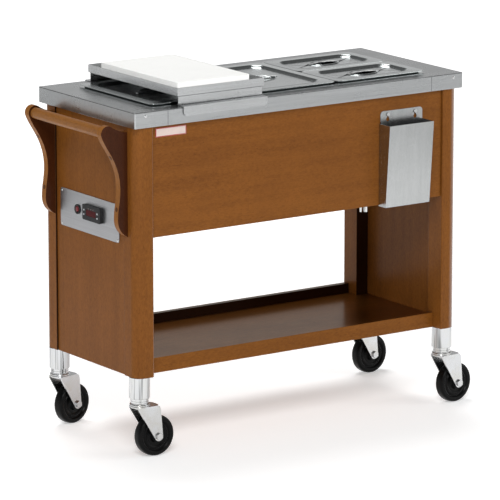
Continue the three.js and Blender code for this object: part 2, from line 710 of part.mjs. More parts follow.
for (const [index, x] of POCKET_SCREWS.entries()) {
  const shank = rod(2, apronFace + GAP, apronFace + 2.8, 12);
  const head = rod(4.4, apronFace + 2.6, apronFace + 5, 16);
  const screw = place("pocket_screw_" + (index + 1), shaped([shank, head]), zinc);
  screw.position.set(POCKET.x + x, 0, POCKET.top + POCKET_FLANGE.height - 9);
  screw.rotation.x = Math.PI / 2;
}

// Legs and casters

function legGeometry() {
  return turned([
    [0, HEAD_TOP], [COLLAR_RADIUS, HEAD_TOP], [COLLAR_RADIUS, LEG_SHOULDER - 2],
    [LEG_RADIUS - 1, LEG_SHOULDER - 2], [LEG_RADIUS, LEG_SHOULDER], [LEG_RADIUS, POST_BOTTOM - GAP],
    [0, POST_BOTTOM - GAP],
  ], 24);
}

// Two tapered cheeks under a top plate and a bearing cup; the wheel trails at +X.
const cheekInner = 19;
const cheekOuter = 22;
const plateTop = 126;
const axleRadius = 5.9;
const boreRadius = 6.2;

function cheekShape() {
  const boss = 11.5;
  const shape = new THREE.Shape();
  shape.moveTo(-16, plateTop);
  shape.lineTo(36, plateTop);
  shape.quadraticCurveTo(45, plateTop, 46, plateTop - 10);
  shape.lineTo(CASTER_TRAIL + boss, WHEEL_RADIUS);
  shape.absarc(CASTER_TRAIL, WHEEL_RADIUS, boss, 0, Math.PI * 1.13, true);
  shape.lineTo(-16, plateTop - 6);
  return shape;
}

function forkGeometry() {
  const cheeks = [[-cheekOuter, -cheekInner], [cheekInner, cheekOuter]].map(([a, b]) =>
    slabXZ(cheekShape(), a, b, 5));
  const plate = prism(
    roundedRectangle(14, 0, 62, 2 * cheekOuter, 14), plateTop - 4, plateTop, 4);
  const cup = turned([
    [0, plateTop - 2], [23, plateTop - 2], [23, plateTop + 4], [21, plateTop + 6],
    [21, HEAD_TOP - GAP], [0, HEAD_TOP - GAP],
  ], 18);
  const hole = alongY(rod(boreRadius, -30, 30, 14)).translate(CASTER_TRAIL, 0, WHEEL_RADIUS);
  return shaped([...cheeks, plate, cup], [hole]);
}

function wheelGeometry() {
  const half = WHEEL_WIDTH / 2;
  const outline = [
    [boreRadius, 17], [14, 17], [17, 8], [27, 8], [30.5, 10.5], [35, 9], [39, half - 0.5],
    [46, half], [WHEEL_RADIUS, half - 7],
  ];
  const mirrored = outline.map(([r, y]) => [r, -y]).reverse();
  return alongY(turned([...outline, ...mirrored, outline[0]], 24));
}

function axleGeometry() {
  const reach = cheekOuter + GAP;
  return alongY(shaped([
    rod(axleRadius, -reach - 1, reach + 1, 14),
    rod(9.2, reach, reach + 5, 6),
    rod(9.2, -reach - 5, -reach, 6),
  ]));
}

for (const [corner, [sx, sy]] of Object.entries(CORNERS)) {
  const stand = new THREE.Group();
  stand.position.set(sx * (postOuterX - POST_X / 2), sy * (postOuterY - POST_Y / 2), 0);
  unit.add(stand);
  place("leg_" + corner, legGeometry(), chrome, stand);
  const caster = new THREE.Group();
  caster.rotation.z = THREE.MathUtils.degToRad(SWIVEL_DEGREES[corner]);
  stand.add(caster);
  place("fork_" + corner, forkGeometry(), zinc, caster);
  place("wheel_" + corner, wheelGeometry(), blackRubber, caster)
    .position.set(CASTER_TRAIL, 0, WHEEL_RADIUS);
  place("axle_" + corner, axleGeometry(), zinc, caster)
    .position.set(CASTER_TRAIL, 0, WHEEL_RADIUS);
}

// The origin is at the middle of the floor that the trolley covers.
const extent = new THREE.Box3().setFromObject(unit, true);
const middle = extent.getCenter(new THREE.Vector3());
unit.position.set(-middle.x, -middle.y, -extent.min.z);

export default unit;
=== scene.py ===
"""Looks of a mobile bain-marie and carving trolley: pieces, finishes, stage, lights and camera.

Everything is in metres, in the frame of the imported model: X along the trolley with the push handle
at -X, Y to its rear, Z up from the floor.
"""

import json
import logging
import math
from dataclasses import dataclass
from enum import Enum
from typing import Any, Callable, Iterable, Optional, Sequence

import bmesh
import bpy
from mathutils import Matrix, Vector


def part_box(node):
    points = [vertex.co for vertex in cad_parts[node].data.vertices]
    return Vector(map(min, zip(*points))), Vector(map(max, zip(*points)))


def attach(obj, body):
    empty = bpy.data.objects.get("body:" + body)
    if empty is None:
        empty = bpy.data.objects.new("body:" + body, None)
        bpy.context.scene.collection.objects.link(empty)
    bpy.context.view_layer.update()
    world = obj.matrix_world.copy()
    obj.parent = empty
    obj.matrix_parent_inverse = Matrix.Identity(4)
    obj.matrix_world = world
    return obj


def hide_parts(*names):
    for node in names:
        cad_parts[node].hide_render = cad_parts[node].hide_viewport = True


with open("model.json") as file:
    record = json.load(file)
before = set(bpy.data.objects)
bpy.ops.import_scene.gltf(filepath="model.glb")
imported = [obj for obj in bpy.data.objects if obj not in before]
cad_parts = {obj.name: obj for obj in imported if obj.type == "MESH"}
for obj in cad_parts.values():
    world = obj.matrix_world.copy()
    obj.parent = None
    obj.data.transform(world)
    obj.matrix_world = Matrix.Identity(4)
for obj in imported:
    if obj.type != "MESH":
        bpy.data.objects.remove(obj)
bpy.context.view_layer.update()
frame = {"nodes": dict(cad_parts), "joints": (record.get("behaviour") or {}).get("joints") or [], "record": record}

log = logging.getLogger("trolley")

MM = 0.001
CORNERS = ("front_left", "rear_left", "front_right", "rear_right")
ROUNDED_FROM = math.radians(30)
SMOOTH_BELOW = math.radians(34)
FLAT_BELOW = math.radians(0.6)

Colour = tuple[float, float, float]
Point = tuple[float, float, float]
Ring = tuple[float, ...]


class Axis(Enum):
    """A direction along the object, for wood grain and brushing."""

    X = 0
    Y = 1
    Z = 2

    def stretched(self, along: float, across: float) -> Colour:
        """Pattern scales: small along this axis and large across it.

        Args:
            along: scale along the axis.
            across: scale on the other two axes.

        Returns:
            The three scales of a mapping.
        """
        return tuple(along if i == self.value else across for i in range(3))


# Shader expressions


class Value:
    """A shader socket that Python arithmetic works on."""

    def __init__(self, recipe: "Recipe", socket: bpy.types.NodeSocket) -> None:
        """Wraps a socket of the recipe's node tree."""
        self.recipe = recipe
        self.socket = socket

    def _math(self, operation: str, first: Any, second: Any) -> "Value":
        """One Math node.

        Args:
            operation: the node's operation.
            first: value or number of the first input.
            second: value or number of the second input.

        Returns:
            The node's result.
        """
        return self.recipe.node("ShaderNodeMath", {"operation": operation}, {0: first, 1: second})

    def __add__(self, other: Any) -> "Value":
        """The sum."""
        return self._math("ADD", self, other)

    def __radd__(self, other: Any) -> "Value":
        """The reflected sum."""
        return self._math("ADD", other, self)

    def __sub__(self, other: Any) -> "Value":
        """The difference."""
        return self._math("SUBTRACT", self, other)

    def __rsub__(self, other: Any) -> "Value":
        """The reflected difference."""
        return self._math("SUBTRACT", other, self)

    def __mul__(self, other: Any) -> "Value":
        """The product."""
        return self._math("MULTIPLY", self, other)

    def __rmul__(self, other: Any) -> "Value":
        """The reflected product."""
        return self._math("MULTIPLY", other, self)

    def __pow__(self, other: Any) -> "Value":
        """The power."""
        return self._math("POWER", self, other)

    def __rpow__(self, other: Any) -> "Value":
        """The reflected power."""
        return self._math("POWER", other, self)

    def magnitude(self) -> "Value":
        """The absolute value."""
        return self._math("ABSOLUTE", self, 0.0)

    def smoothed(self, low: float, high: float, start: float = 0.0, end: float = 1.0) -> "Value":
        """A smooth step from start to end as this goes from low to high."""
        inputs = {0: self, 1: low, 2: high, 3: start, 4: end}
        return self.recipe.node("ShaderNodeMapRange", {"interpolation_type": "SMOOTHSTEP"}, inputs)


def fill_stops(ramp: bpy.types.Node, stops: Sequence[tuple[float, Colour]]) -> None:
    """Sets the stops of a colour ramp node.

    Args:
        ramp: the node.
        stops: the place and colour of each stop.
    """
    elements = ramp.color_ramp.elements
    while len(elements) < len(stops):
        elements.new(1.0)
    for element, (place, colour) in zip(elements, stops):
        element.position = place
        element.color = (*colour, 1.0)


class Recipe:
    """Builds one material's node tree."""

    def __init__(self, name: str) -> None:
        """Starts a material with a Principled shader and its output."""
        self.material = bpy.data.materials.new(name)
        self.material.use_nodes = True
        self.tree = self.material.node_tree
        self.tree.nodes.clear()
        self.shader = self.tree.nodes.new("ShaderNodeBsdfPrincipled")
        output = self.tree.nodes.new("ShaderNodeOutputMaterial")
        self.tree.links.new(self.shader.outputs[0], output.inputs[0])

    def _feed(self, socket: bpy.types.NodeSocket, value: Any) -> None:
        """Links a value to a socket, or sets the socket to a constant.

        Args:
            socket: the input.
            value: a value, or a number, colour or vector.
        """
        if isinstance(value, Value):
            self.tree.links.new(value.socket, socket)
        elif isinstance(value, tuple) and len(value) == 3 and socket.type == "RGBA":
            socket.default_value = (*value, 1.0)
        else:
            socket.default_value = value

    def node(self, kind: str, settings: Optional[dict] = None, inputs: Optional[dict] = None,
             output: int | str = 0) -> Value:
        """Adds any node.

        Args:
            kind: the node's type.
            settings: its properties; "stops" fills a colour ramp.
            inputs: input index or name to a value, number or colour.
            output: the output that is wanted.

        Returns:
            That output.
        """
        made = self.tree.nodes.new(kind)
        for key, value in (settings or {}).items():
            if key == "stops":
                fill_stops(made, value)
            else:
                setattr(made, key, value)
        for key, value in (inputs or {}).items():
            self._feed(made.inputs[key], value)
        return Value(self, made.outputs[output])

    def place(self, scale: Sequence[float] = (1, 1, 1),
              shift: Sequence[float] = (0, 0, 0)) -> Value:
        """The point on the piece, moved and scaled.

        Args:
            scale: pattern scale on each axis.
            shift: offset added after the scale, so that like pieces differ.

        Returns:
            The mapped object coordinates.
        """
        point = self.node("ShaderNodeTexCoord", output="Object")
        return self.node("ShaderNodeMapping", {}, {0: point, 1: tuple(shift), 3: tuple(scale)})

    def noise(self, at: Value, scale: float, detail: float = 3.0, roughness: float = 0.55,
              distortion: float = 0.0) -> Value:
        """Fractal noise, about 0.5 in the middle.

        Args:
            at: where it is read.
            scale: its frequency per metre.
            detail: number of octaves.
            roughness: weight of the fine octaves.
            distortion: how far it is warped.

        Returns:
            The noise as a value.
        """
        inputs = {"Vector": at, "Scale": scale, "Detail": detail, "Roughness": roughness,
                  "Distortion": distortion}
        return self.node("ShaderNodeTexNoise", {}, inputs)

    def ramp(self, value: Value, stops: Sequence[tuple[float, Colour]]) -> Value:
        """A colour for each value."""
        return self.node("ShaderNodeValToRGB", {"stops": list(stops)}, {0: value})

    def mix(self, share: Any, first: Any, second: Any, blend: str = "MIX") -> Value:
        """A blend of two colours.

        Args:
            share: how much of the second.
            first: the first colour.
            second: the second colour.
            blend: the way they are blended.

        Returns:
            The mixed colour.
        """
        settings = {"data_type": "RGBA", "blend_type": blend}
        return self.node("ShaderNodeMix", settings, {0: share, 6: first, 7: second}, output=2)

    def split(self, vector: Value) -> tuple[Value, Value, Value]:
        """The three parts of a vector.

        Args:
            vector: the vector.

        Returns:
            Its X, Y and Z.
        """
        made = self.tree.nodes.new("ShaderNodeSeparateXYZ")
        self._feed(made.inputs[0], vector)
        return tuple(Value(self, socket) for socket in made.outputs)

    def bump(self, height: Value, depth: float, strength: float = 1.0) -> Value:
        """A normal from a height.

        Args:
            height: the height, 0 to 1.
            depth: how far 1 stands up, in metres.
            strength: share of the effect.

        Returns:
            The bent normal.
        """
        inputs = {"Strength": strength, "Distance": depth, "Height": height}
        return self.node("ShaderNodeBump", {}, inputs)

    def finish(self, **sockets: Any) -> bpy.types.Material:
        """Feeds the shader's sockets.

        Args:
            **sockets: what each socket gets, with _ for a space in its name.

        Returns:
            The material.
        """
        for name, value in sockets.items():
            self._feed(self.shader.inputs[name.replace("_", " ")], value)
        return self.material


def scaled(rings: Iterable[Sequence[float]]) -> list[Ring]:
    """Rings written in millimetres, in metres."""
    return [tuple(value * MM for value in ring) for ring in rings]


def darker(colour: Colour, share: float) -> Colour:
    """The colour times a share."""
    return tuple(channel * share for channel in colour)


# Finishes


@dataclass(frozen=True)
class Finish:
    """What every finish has: a name and the record's slot that it belongs to."""

    name: str
    slot: str

    def build(self) -> bpy.types.Material:
        """Makes the finish's material."""
        raise NotImplementedError


@dataclass(frozen=True)
class StainedWood(Finish):
    """Beech veneer, stained brown, with a satin lacquer, and painted shade where it is asked for: on faces that
    point along Y, and in a band along Y.
    """

    grain: Axis = Axis.Z
    pale: Colour = (0.215, 0.076, 0.0125)
    deep: Colour = (0.122, 0.040, 0.0068)
    shift: Colour = (0.0, 0.0, 0.0)
    sheen: float = 0.08
    top_gloss: float = 0.0
    arris_gloss: float = 0.0
    grazing_tint: Colour = (1.0, 1.0, 1.0)
    # painted shade: the colour that faces pointing along Y are multiplied by, so that a piece's flat sides look
    # shaded
    painted_side_shade: Optional[Colour] = None
    # painted shade: a band of Y, start and end, inside which the colour is darkened as if in shadow
    dim: Optional[tuple[float, float]] = None
    dim_fade: float = 0.4 * MM
    painted_shade_colour: Colour = (0.10, 0.08, 0.08)
    pore_depth: float = 0.22 * MM

    def build(self) -> bpy.types.Material:
        """Makes the material.

        Returns:
            The material.
        """
        wood = Recipe(self.name)
        bend = self._grained(wood, 1.2, 5.0, 2.0, 0.55)
        figure = self._grained(wood, 2.2, 46.0, 5.0, 0.62, 0.4)
        pores = self._grained(wood, 40.0, 900.0, 2.0, 0.5)
        flecks = self._grained(wood, 150.0, 620.0, 2.0, 0.4)
        cloud = wood.noise(wood.place((1, 1, 1), self.shift), 7.0, 3.0)
        mottle = self._grained(wood, 110.0, 260.0, 3.0, 0.6)
        tone = figure * 0.34 + bend * 0.24 + mottle * 0.42
        medium = tuple(a * 0.6 + b * 0.4 for a, b in zip(self.pale, self.deep))
        stops = [(0.30, self.deep), (0.46, medium), (0.58, self.pale), (0.76, medium)]
        colour = wood.ramp(tone, stops)
        colour = wood.mix(cloud.smoothed(0.35, 0.7, 0.0, 0.22), colour, darker(self.deep, 1.05))
        colour = wood.mix(flecks.smoothed(0.56, 0.68, 0.0, 0.42), colour, darker(self.deep, 0.72))
        colour = wood.mix(pores.smoothed(0.60, 0.72, 0.0, 0.40), colour, darker(self.deep, 0.55))
        across, side, top = wood.split(wood.node("ShaderNodeTexCoord", output="Normal"))
        if self.painted_side_shade:
            # Painted shade: faces that point along Y are multiplied by the side shade colour.
            flat_side = side.magnitude().smoothed(0.7, 0.95)
            colour = wood.mix(flat_side, colour, self.painted_side_shade, "MULTIPLY")
        # Painted shade: the colour is multiplied by the shade colour inside the band along Y.
        if self.dim:
            start, end = self.dim
            depth = wood.split(wood.place())[1]
            behind = depth.smoothed(start, start + self.dim_fade)
            beyond = depth.smoothed(end, end + self.dim_fade)
            colour = wood.mix(behind * (1.0 - beyond), colour, self.painted_shade_colour, "MULTIPLY")
        gloss = cloud * 0.04 + 0.02
        mirror = 0.0
        if self.top_gloss:
            upward = top.smoothed(0.8, 0.95)
            mirror = upward * self.top_gloss
            gloss = upward * 0.4 + gloss
        if self.arris_gloss:
            gloss = (0.0 - across * side).smoothed(0.05, 0.3) * self.arris_gloss + gloss
        relief = pores * 0.5 + figure * 0.35 + flecks * 0.15
        return wood.finish(
            Base_Color=colour,
            Roughness=cloud * 0.14 + pores * 0.10 + 0.27,
            Specular_IOR_Level=self.sheen,
            Coat_Weight=gloss,
            Coat_Roughness=0.18,
            Metallic=mirror,
            Specular_Tint=self.grazing_tint,
            Normal=wood.bump(relief, self.pore_depth, 0.5),
        )

    def _grained(self, wood: Recipe, along: float, across: float, detail: float, roughness: float,
                 distortion: float = 0.0) -> Value:
        """Noise drawn out along the grain.

        Args:
            wood: the recipe.
            along: frequency along the grain.
            across: frequency across it.
            detail: number of octaves.
            roughness: weight of the fine octaves.
            distortion: how far it is warped.

        Returns:
            The noise.
        """
        at = wood.place(self.grain.stretched(along, across), self.shift)
        return wood.noise(at, 1.0, detail, roughness, distortion)


@dataclass(frozen=True)
class BrushedMetal(Finish):
    """Sheet metal with brushing along one axis, smudges and fine scratches, and dark lines on its upright faces,
    which are seams on some finishes and painted shadow on others.
    """

    colour: Colour = (0.46, 0.47, 0.475)
    grain: Axis = Axis.X
    roughness: float = 0.30
    brushing: float = 0.5
    seams_and_shadow_lines: tuple[tuple[Axis, float, float], ...] = ()
    relief: float = 0.06 * MM

    def build(self) -> bpy.types.Material:
        """Makes the material.

        Returns:
            The material.
        """
        steel = Recipe(self.name)
        lines = steel.noise(steel.place(self.grain.stretched(6.0, 1500.0)), 1.0, 3.0, 0.6)
        broad = steel.noise(steel.place(self.grain.stretched(2.0, 130.0)), 1.0, 3.0, 0.6)
        smudge = steel.noise(steel.place(), 11.0, 4.0, 0.6, 0.3)
        scratch = steel.noise(steel.place(self.grain.stretched(22.0, 620.0)), 1.0, 1.0, 0.3, 0.5)
        streak = lines * 0.65 + broad * 0.35
        colour = steel.ramp(streak, [
            (0.32, darker(self.colour, 0.86)), (0.5, self.colour),
            (0.68, darker(self.colour, 1.13)),
        ])
        colour = steel.mix(smudge.smoothed(0.45, 0.75, 0.0, 0.18), colour, darker(self.colour, 0.8))
        fine = scratch.smoothed(0.74, 0.80)
        colour = steel.mix(fine * 0.2, colour, darker(self.colour, 1.2))
        rough = streak * 0.16 + smudge * 0.14 + (self.roughness - 0.15)
        height = streak * self.brushing + smudge * 0.08
        # Dark lines on upright faces: seams, and painted shadow lines, at the places given.
        if self.seams_and_shadow_lines:
            point = steel.split(steel.place())
            normal = steel.node("ShaderNodeTexCoord", output="Normal")
            upright = 1.0 - steel.split(normal)[2].magnitude()
            line = 1.0
            for axis, place, half in self.seams_and_shadow_lines:
                line = (point[axis.value] - place).magnitude().smoothed(half * 0.6, half) * line
            seam_and_shadow = (1.0 - line) * upright.smoothed(0.5, 0.9)
            colour = steel.mix(seam_and_shadow, colour, darker(self.colour, 0.30))
            height = height - seam_and_shadow * 0.3
        return steel.finish(
            Base_Color=colour, Metallic=1.0, Roughness=rough,
            Normal=steel.bump(height, self.relief, 0.45),
        )


@dataclass(frozen=True)
class PlatedMetal(Finish):
    """Plated or polished metal with a faint haze, pits and wear, and optional dark vertical streaks that are
    painted reflections.
    """

    colour: Colour = (0.72, 0.73, 0.75)
    roughness: float = 0.10
    haze: float = 0.14
    tint: Colour = (0.62, 0.62, 0.58)
    painted_reflection_streaks: float = 0.0
    relief: float = 0.03 * MM

    def build(self) -> bpy.types.Material:
        """Makes the material.

        Returns:
            The material.
        """
        plate = Recipe(self.name)
        cloud = plate.noise(plate.place(), 26.0, 4.0, 0.6, 0.4)
        grit = plate.noise(plate.place(), 900.0, 2.0, 0.5)
        rub = plate.noise(plate.place((60.0, 60.0, 14.0)), 1.0, 3.0, 0.65, 0.8)
        colour = plate.mix(cloud.smoothed(0.4, 0.7, 0.0, 0.5), self.colour, self.tint)
        colour = plate.mix(rub.smoothed(0.60, 0.72, 0.0, 0.35), colour, darker(self.colour, 0.7))
        # Painted reflection: dark vertical streaks in the colour, standing in for what the metal mirrors.
        if self.painted_reflection_streaks:
            streak = plate.noise(plate.place((75.0, 75.0, 2.0)), 1.0, 3.0, 0.7)
            share = streak.smoothed(0.5, 0.64, 0.0, self.painted_reflection_streaks)
            colour = plate.mix(share, colour, darker(self.colour, 0.28))
        rough = cloud * self.haze + rub * 0.05 + self.roughness
        return plate.finish(
            Base_Color=colour, Metallic=1.0, Roughness=rough,
            Normal=plate.bump(grit * 0.6 + cloud * 0.4, self.relief, 0.35),
        )


@dataclass(frozen=True)
class Moulded(Finish):
    """Moulded plastic or rubber with a fine grain and handling marks."""

    colour: Colour = (0.012, 0.012, 0.013)
    mark: Colour = (0.05, 0.05, 0.05)
    roughness: float = 0.42
    grain: float = 1400.0
    depth: float = 0.03 * MM
    coat: float = 0.0
    sheen: float = 0.4

    def build(self) -> bpy.types.Material:
        """Makes the material.

        Returns:
            The material.
        """
        plastic = Recipe(self.name)
        grain = plastic.noise(plastic.place(), self.grain, 2.0, 0.5)
        cloud = plastic.noise(plastic.place(), 30.0, 4.0, 0.6)
        marks = plastic.noise(plastic.place((200.0, 40.0, 90.0)), 1.0, 3.0, 0.6, 1.0)
        share = cloud.smoothed(0.35, 0.7, 0.0, 0.45)
        colour = plastic.mix(share, self.colour, darker(self.colour, 0.78))
        colour = plastic.mix(marks.smoothed(0.60, 0.75, 0.0, 0.30), colour, self.mark)
        return plastic.finish(
            Base_Color=colour,
            Roughness=grain * 0.10 + cloud * 0.12 + (self.roughness - 0.1),
            Specular_IOR_Level=self.sheen,
            Coat_Weight=cloud * 0.02 + self.coat,
            Coat_Roughness=0.12,
            Normal=plastic.bump(grain * 0.7 + marks * 0.3, self.depth, 0.5),
        )


@dataclass(frozen=True)
class CutPlastic(Finish):
    """A white polyethylene board, faintly scored by knives."""

    colour: Colour = (0.88, 0.88, 0.86)
    cut_depth: float = 0.08 * MM

    def build(self) -> bpy.types.Material:
        """Makes the material.

        Returns:
            The material.
        """
        board = Recipe(self.name)
        grain = board.noise(board.place(), 700.0, 2.0, 0.5)
        along = board.place((16.0, 520.0, 300.0), (3.0, 1.0, 0.0))
        long_cuts = board.noise(along, 1.0, 1.0, 0.3, 0.9)
        cross_cuts = board.noise(board.place((460.0, 20.0, 300.0)), 1.0, 1.0, 0.3, 1.2)
        cloud = board.noise(board.place(), 14.0, 3.0)
        cuts = long_cuts.smoothed(0.68, 0.74) + cross_cuts.smoothed(0.70, 0.76)
        share = cloud.smoothed(0.4, 0.7, 0.0, 0.3)
        colour = board.mix(share, self.colour, darker(self.colour, 0.95))
        colour = board.mix(cuts * 0.2, colour, darker(self.colour, 0.78))
        return board.finish(
            Base_Color=colour, Roughness=grain * 0.12 + cloud * 0.1 + 0.42,
            Normal=board.bump(grain * 0.3 - cuts * 0.5, self.cut_depth, 0.5),
        )


@dataclass(frozen=True)
class BorderedPlate(Finish):
    """A blank enamelled plate: a pale field inside a coloured border."""

    centre: Colour = (0.0, 0.0, 0.0)
    half: tuple[float, float] = (40 * MM, 10 * MM)
    border: float = 2.2 * MM
    fade: float = 0.2 * MM
    raised: float = 0.1 * MM
    field_colour: Colour = (0.62, 0.50, 0.46)
    border_colour: Colour = (0.36, 0.045, 0.03)

    def build(self) -> bpy.types.Material:
        """Makes the material.

        Returns:
            The material.
        """
        plate = Recipe(self.name)
        x, _, z = plate.split(plate.place(shift=tuple(-c for c in self.centre)))
        reach_x, reach_z = (half - self.border for half in self.half)
        across = x.magnitude().smoothed(reach_x - self.fade, reach_x)
        up = z.magnitude().smoothed(reach_z - self.fade, reach_z)
        edge = 1.0 - (1.0 - across) * (1.0 - up)
        cloud = plate.noise(plate.place(), 60.0, 3.0)
        colour = plate.mix(edge, self.field_colour, self.border_colour)
        share = cloud.smoothed(0.4, 0.7, 0.0, 0.25)
        colour = plate.mix(share, colour, darker(self.field_colour, 0.7))
        return plate.finish(
            Base_Color=colour, Roughness=cloud * 0.15 + 0.22,
            Normal=plate.bump(edge * 0.6 + cloud * 0.2, self.raised, 0.4),
        )


class Palette:
    """The trolley's finishes, each built once."""

    WOOD_UP = StainedWood("stained_beech_upright", "stained_wood", Axis.Z, arris_gloss=0.9)
    # The rear posts have painted shade on a band of their inner faces.
    WOOD_REAR = StainedWood("stained_beech_rear_upright", "stained_wood", Axis.Z,
                            shift=(2.2, 0.1, 0.9), dim=(0.1600, 0.1652))
    WOOD_PANEL = StainedWood("stained_beech_panel", "stained_wood", Axis.Z, shift=(3.1, 0.7, 1.9))
    WOOD_ALONG = StainedWood("stained_beech_long", "stained_wood", Axis.X, shift=(0.4, 2.3, 5.1))
    # The shelf's rear rail has painted shade in its band along Y.
    WOOD_SHELF = StainedWood("stained_beech_shelf", "stained_wood", Axis.X, shift=(7.0, 1.0, 2.0),
                             top_gloss=0.9, grazing_tint=(1.0, 0.80, 0.62),
                             dim=(0.1970, 0.2110))
    # The handle brackets have painted shade on their flat sides that face along Y.
    WOOD_HANDLE = StainedWood("stained_beech_handle", "stained_wood", Axis.Z, (0.27, 0.105, 0.020),
                              (0.16, 0.057, 0.010), (1.0, 4.0, 2.0), painted_side_shade=(0.20, 0.14, 0.20))
    WOOD_BAR = StainedWood("stained_beech_bar", "stained_wood", Axis.Y, (0.27, 0.108, 0.021),
                           (0.17, 0.06, 0.012), (2.0, 1.0, 9.0), 0.16)
    PLUG = StainedWood("stained_plug", "stained_wood", Axis.X, (0.10, 0.035, 0.008),
                       (0.05, 0.016, 0.005))
    # Dark lines on the fascia: seams at two places along X, and a dark line just below its top edge.
    WORKTOP = BrushedMetal("brushed_worktop", "worktop_steel", (0.42, 0.43, 0.435), Axis.X,
                           0.29, 0.35, ((Axis.X, -0.3818, 0.0008), (Axis.X, 0.3852, 0.0008),
                                        (Axis.Z, 0.8368, 0.0011)))
    TANK = BrushedMetal("brushed_tank", "worktop_steel", (0.30, 0.31, 0.315), Axis.X, 0.34)
    PAN = BrushedMetal("pressed_pan", "pan_steel", (0.46, 0.485, 0.485), Axis.X, 0.18, 0.08)
    # Painted shade: the bead under each lid's edge is near-black to stand in for the shadow in the gap under the
    # lid's rim.
    BEAD = BrushedMetal("shaded_bead", "pan_steel", (0.06, 0.07, 0.07), Axis.X, 0.34, 0.2)
    # Painted shadow: dark lines on the stand's upright faces under the tray's rim and at its foot on the worktop.
    SHEET = BrushedMetal("satin_sheet", "sheet_steel", (0.51, 0.52, 0.525), Axis.X, 0.26, 0.3,
                         ((Axis.Z, 0.8612, 0.0013), (Axis.Z, 0.8408, 0.0011)))
    PLATE = BrushedMetal("brushed_plate", "sheet_steel", (0.49, 0.495, 0.51), Axis.Y, 0.34, 0.3)
    POCKET = BrushedMetal("brushed_pocket", "sheet_steel", (0.45, 0.46, 0.46), Axis.Z, 0.24, 0.2)
    # The chrome's colour carries dark vertical streaks that are painted reflections.
    CHROME = PlatedMetal("chrome_plate", "chrome_tube", (0.62, 0.63, 0.64), 0.03, 0.06, painted_reflection_streaks=0.8)
    ZINC = PlatedMetal("bright_zinc", "bright_zinc", (0.60, 0.61, 0.62), 0.14, 0.14,
                       (0.52, 0.50, 0.45))
    BRASS = PlatedMetal("plain_brass", "brass_fitting", (0.55, 0.41, 0.17), 0.24, 0.16,
                        (0.38, 0.27, 0.12))
    TYRE = Moulded("hard_rubber", "black_tyre", (0.0035, 0.0035, 0.0035), (0.012, 0.012, 0.012),
                   0.28, 700.0, 0.05 * MM, sheen=0.10)
    BLACK = Moulded("black_moulding", "black_plastic", (0.009, 0.009, 0.010), (0.03, 0.03, 0.03),
                    0.42, sheen=0.25)
    RED = Moulded("red_moulding", "red_plastic", (0.14, 0.006, 0.010), (0.22, 0.02, 0.02), 0.26,
                  900.0, 0.02 * MM, 0.1, 0.3)
    LAMP = Moulded("clear_lamp", "dark_window", (0.45, 0.30, 0.28), (0.5, 0.4, 0.4), 0.3, 900.0,
                   0.01 * MM)
    WINDOW = Moulded("dark_window", "dark_window", (0.060, 0.003, 0.004), (0.10, 0.006, 0.006),
                     0.14, 500.0, 0.008 * MM, 0.0, 0.25)
    BUTTON = Moulded("pale_button", "grey_buttons", (0.50, 0.52, 0.54), (0.34, 0.35, 0.36), 0.46)
    BOARD = CutPlastic("scored_board", "white_board")

    def __init__(self) -> None:
        """Starts with nothing built."""
        self._built: dict[str, bpy.types.Material] = {}

    def material(self, finish: Finish) -> bpy.types.Material:
        """The finish's material, made when it is first asked for.

        Args:
            finish: the finish.

        Returns:
            Its material.
        """
        if finish.name not in self._built:
            self._built[finish.name] = finish.build()
        return self._built[finish.name]


PALETTE = Palette()


# Modelling


def deselect() -> None:
    """Leaves nothing selected."""
    bpy.ops.object.select_all(action="DESELECT")


def activate(piece: bpy.types.Object) -> None:
    """Selects one object alone and makes it active.

    Args:
        piece: the object.
    """
    deselect()
    piece.select_set(True)
    bpy.context.view_layer.objects.active = piece


class Editing:
    """Edit mode on one piece for the length of a with block."""

    def __init__(self, piece: bpy.types.Object, mode: str = "FACE") -> None:
        """Names the piece and what is selected: VERT, EDGE or FACE."""
        self.piece = piece
        self.mode = mode

    def __enter__(self) -> "Editing":
        """Enters edit mode with nothing selected."""
        activate(self.piece)
        bpy.ops.object.mode_set(mode="EDIT")
        bpy.ops.mesh.select_mode(type=self.mode)
        bpy.ops.mesh.select_all(action="DESELECT")
        return self

    def __exit__(self, *_: Any) -> None:
        """Goes back to object mode."""
        bpy.ops.object.mode_set(mode="OBJECT")

    def choose(self, test: Callable[[Any], bool]) -> None:
        """Selects the elements of the mode's kind that pass a test.

        Args:
            test: is given each vertex, edge or face.
        """
        mesh = bmesh.from_edit_mesh(self.piece.data)
        pool = {"VERT": mesh.verts, "EDGE": mesh.edges, "FACE": mesh.faces}[self.mode]
        for element in (*mesh.faces, *mesh.edges, *mesh.verts):
            element.select_set(False)
        for element in [element for element in pool if test(element)]:
            element.select_set(True)
        mesh.select_flush_mode()
        bmesh.update_edit_mesh(self.piece.data)


def named(name: str) -> bpy.types.Object:
    """Names the active object and its mesh.

    Args:
        name: the name.

    Returns:
        The object.
    """
    piece = bpy.context.object
    piece.name = name
    piece.data.name = name
    return piece


def applied(piece: bpy.types.Object, kind: str, **settings: Any) -> bpy.types.Object:
    """Adds a modifier and applies it.

    Args:
        piece: the object.
        kind: the modifier's type.
        **settings: its properties.

    Returns:
        The same object.
    """
    activate(piece)
    modifier = piece.modifiers.new(kind.title(), kind)
    for key, value in settings.items():
        setattr(modifier, key, value)
    bpy.ops.object.modifier_apply(modifier=modifier.name)
    return piece


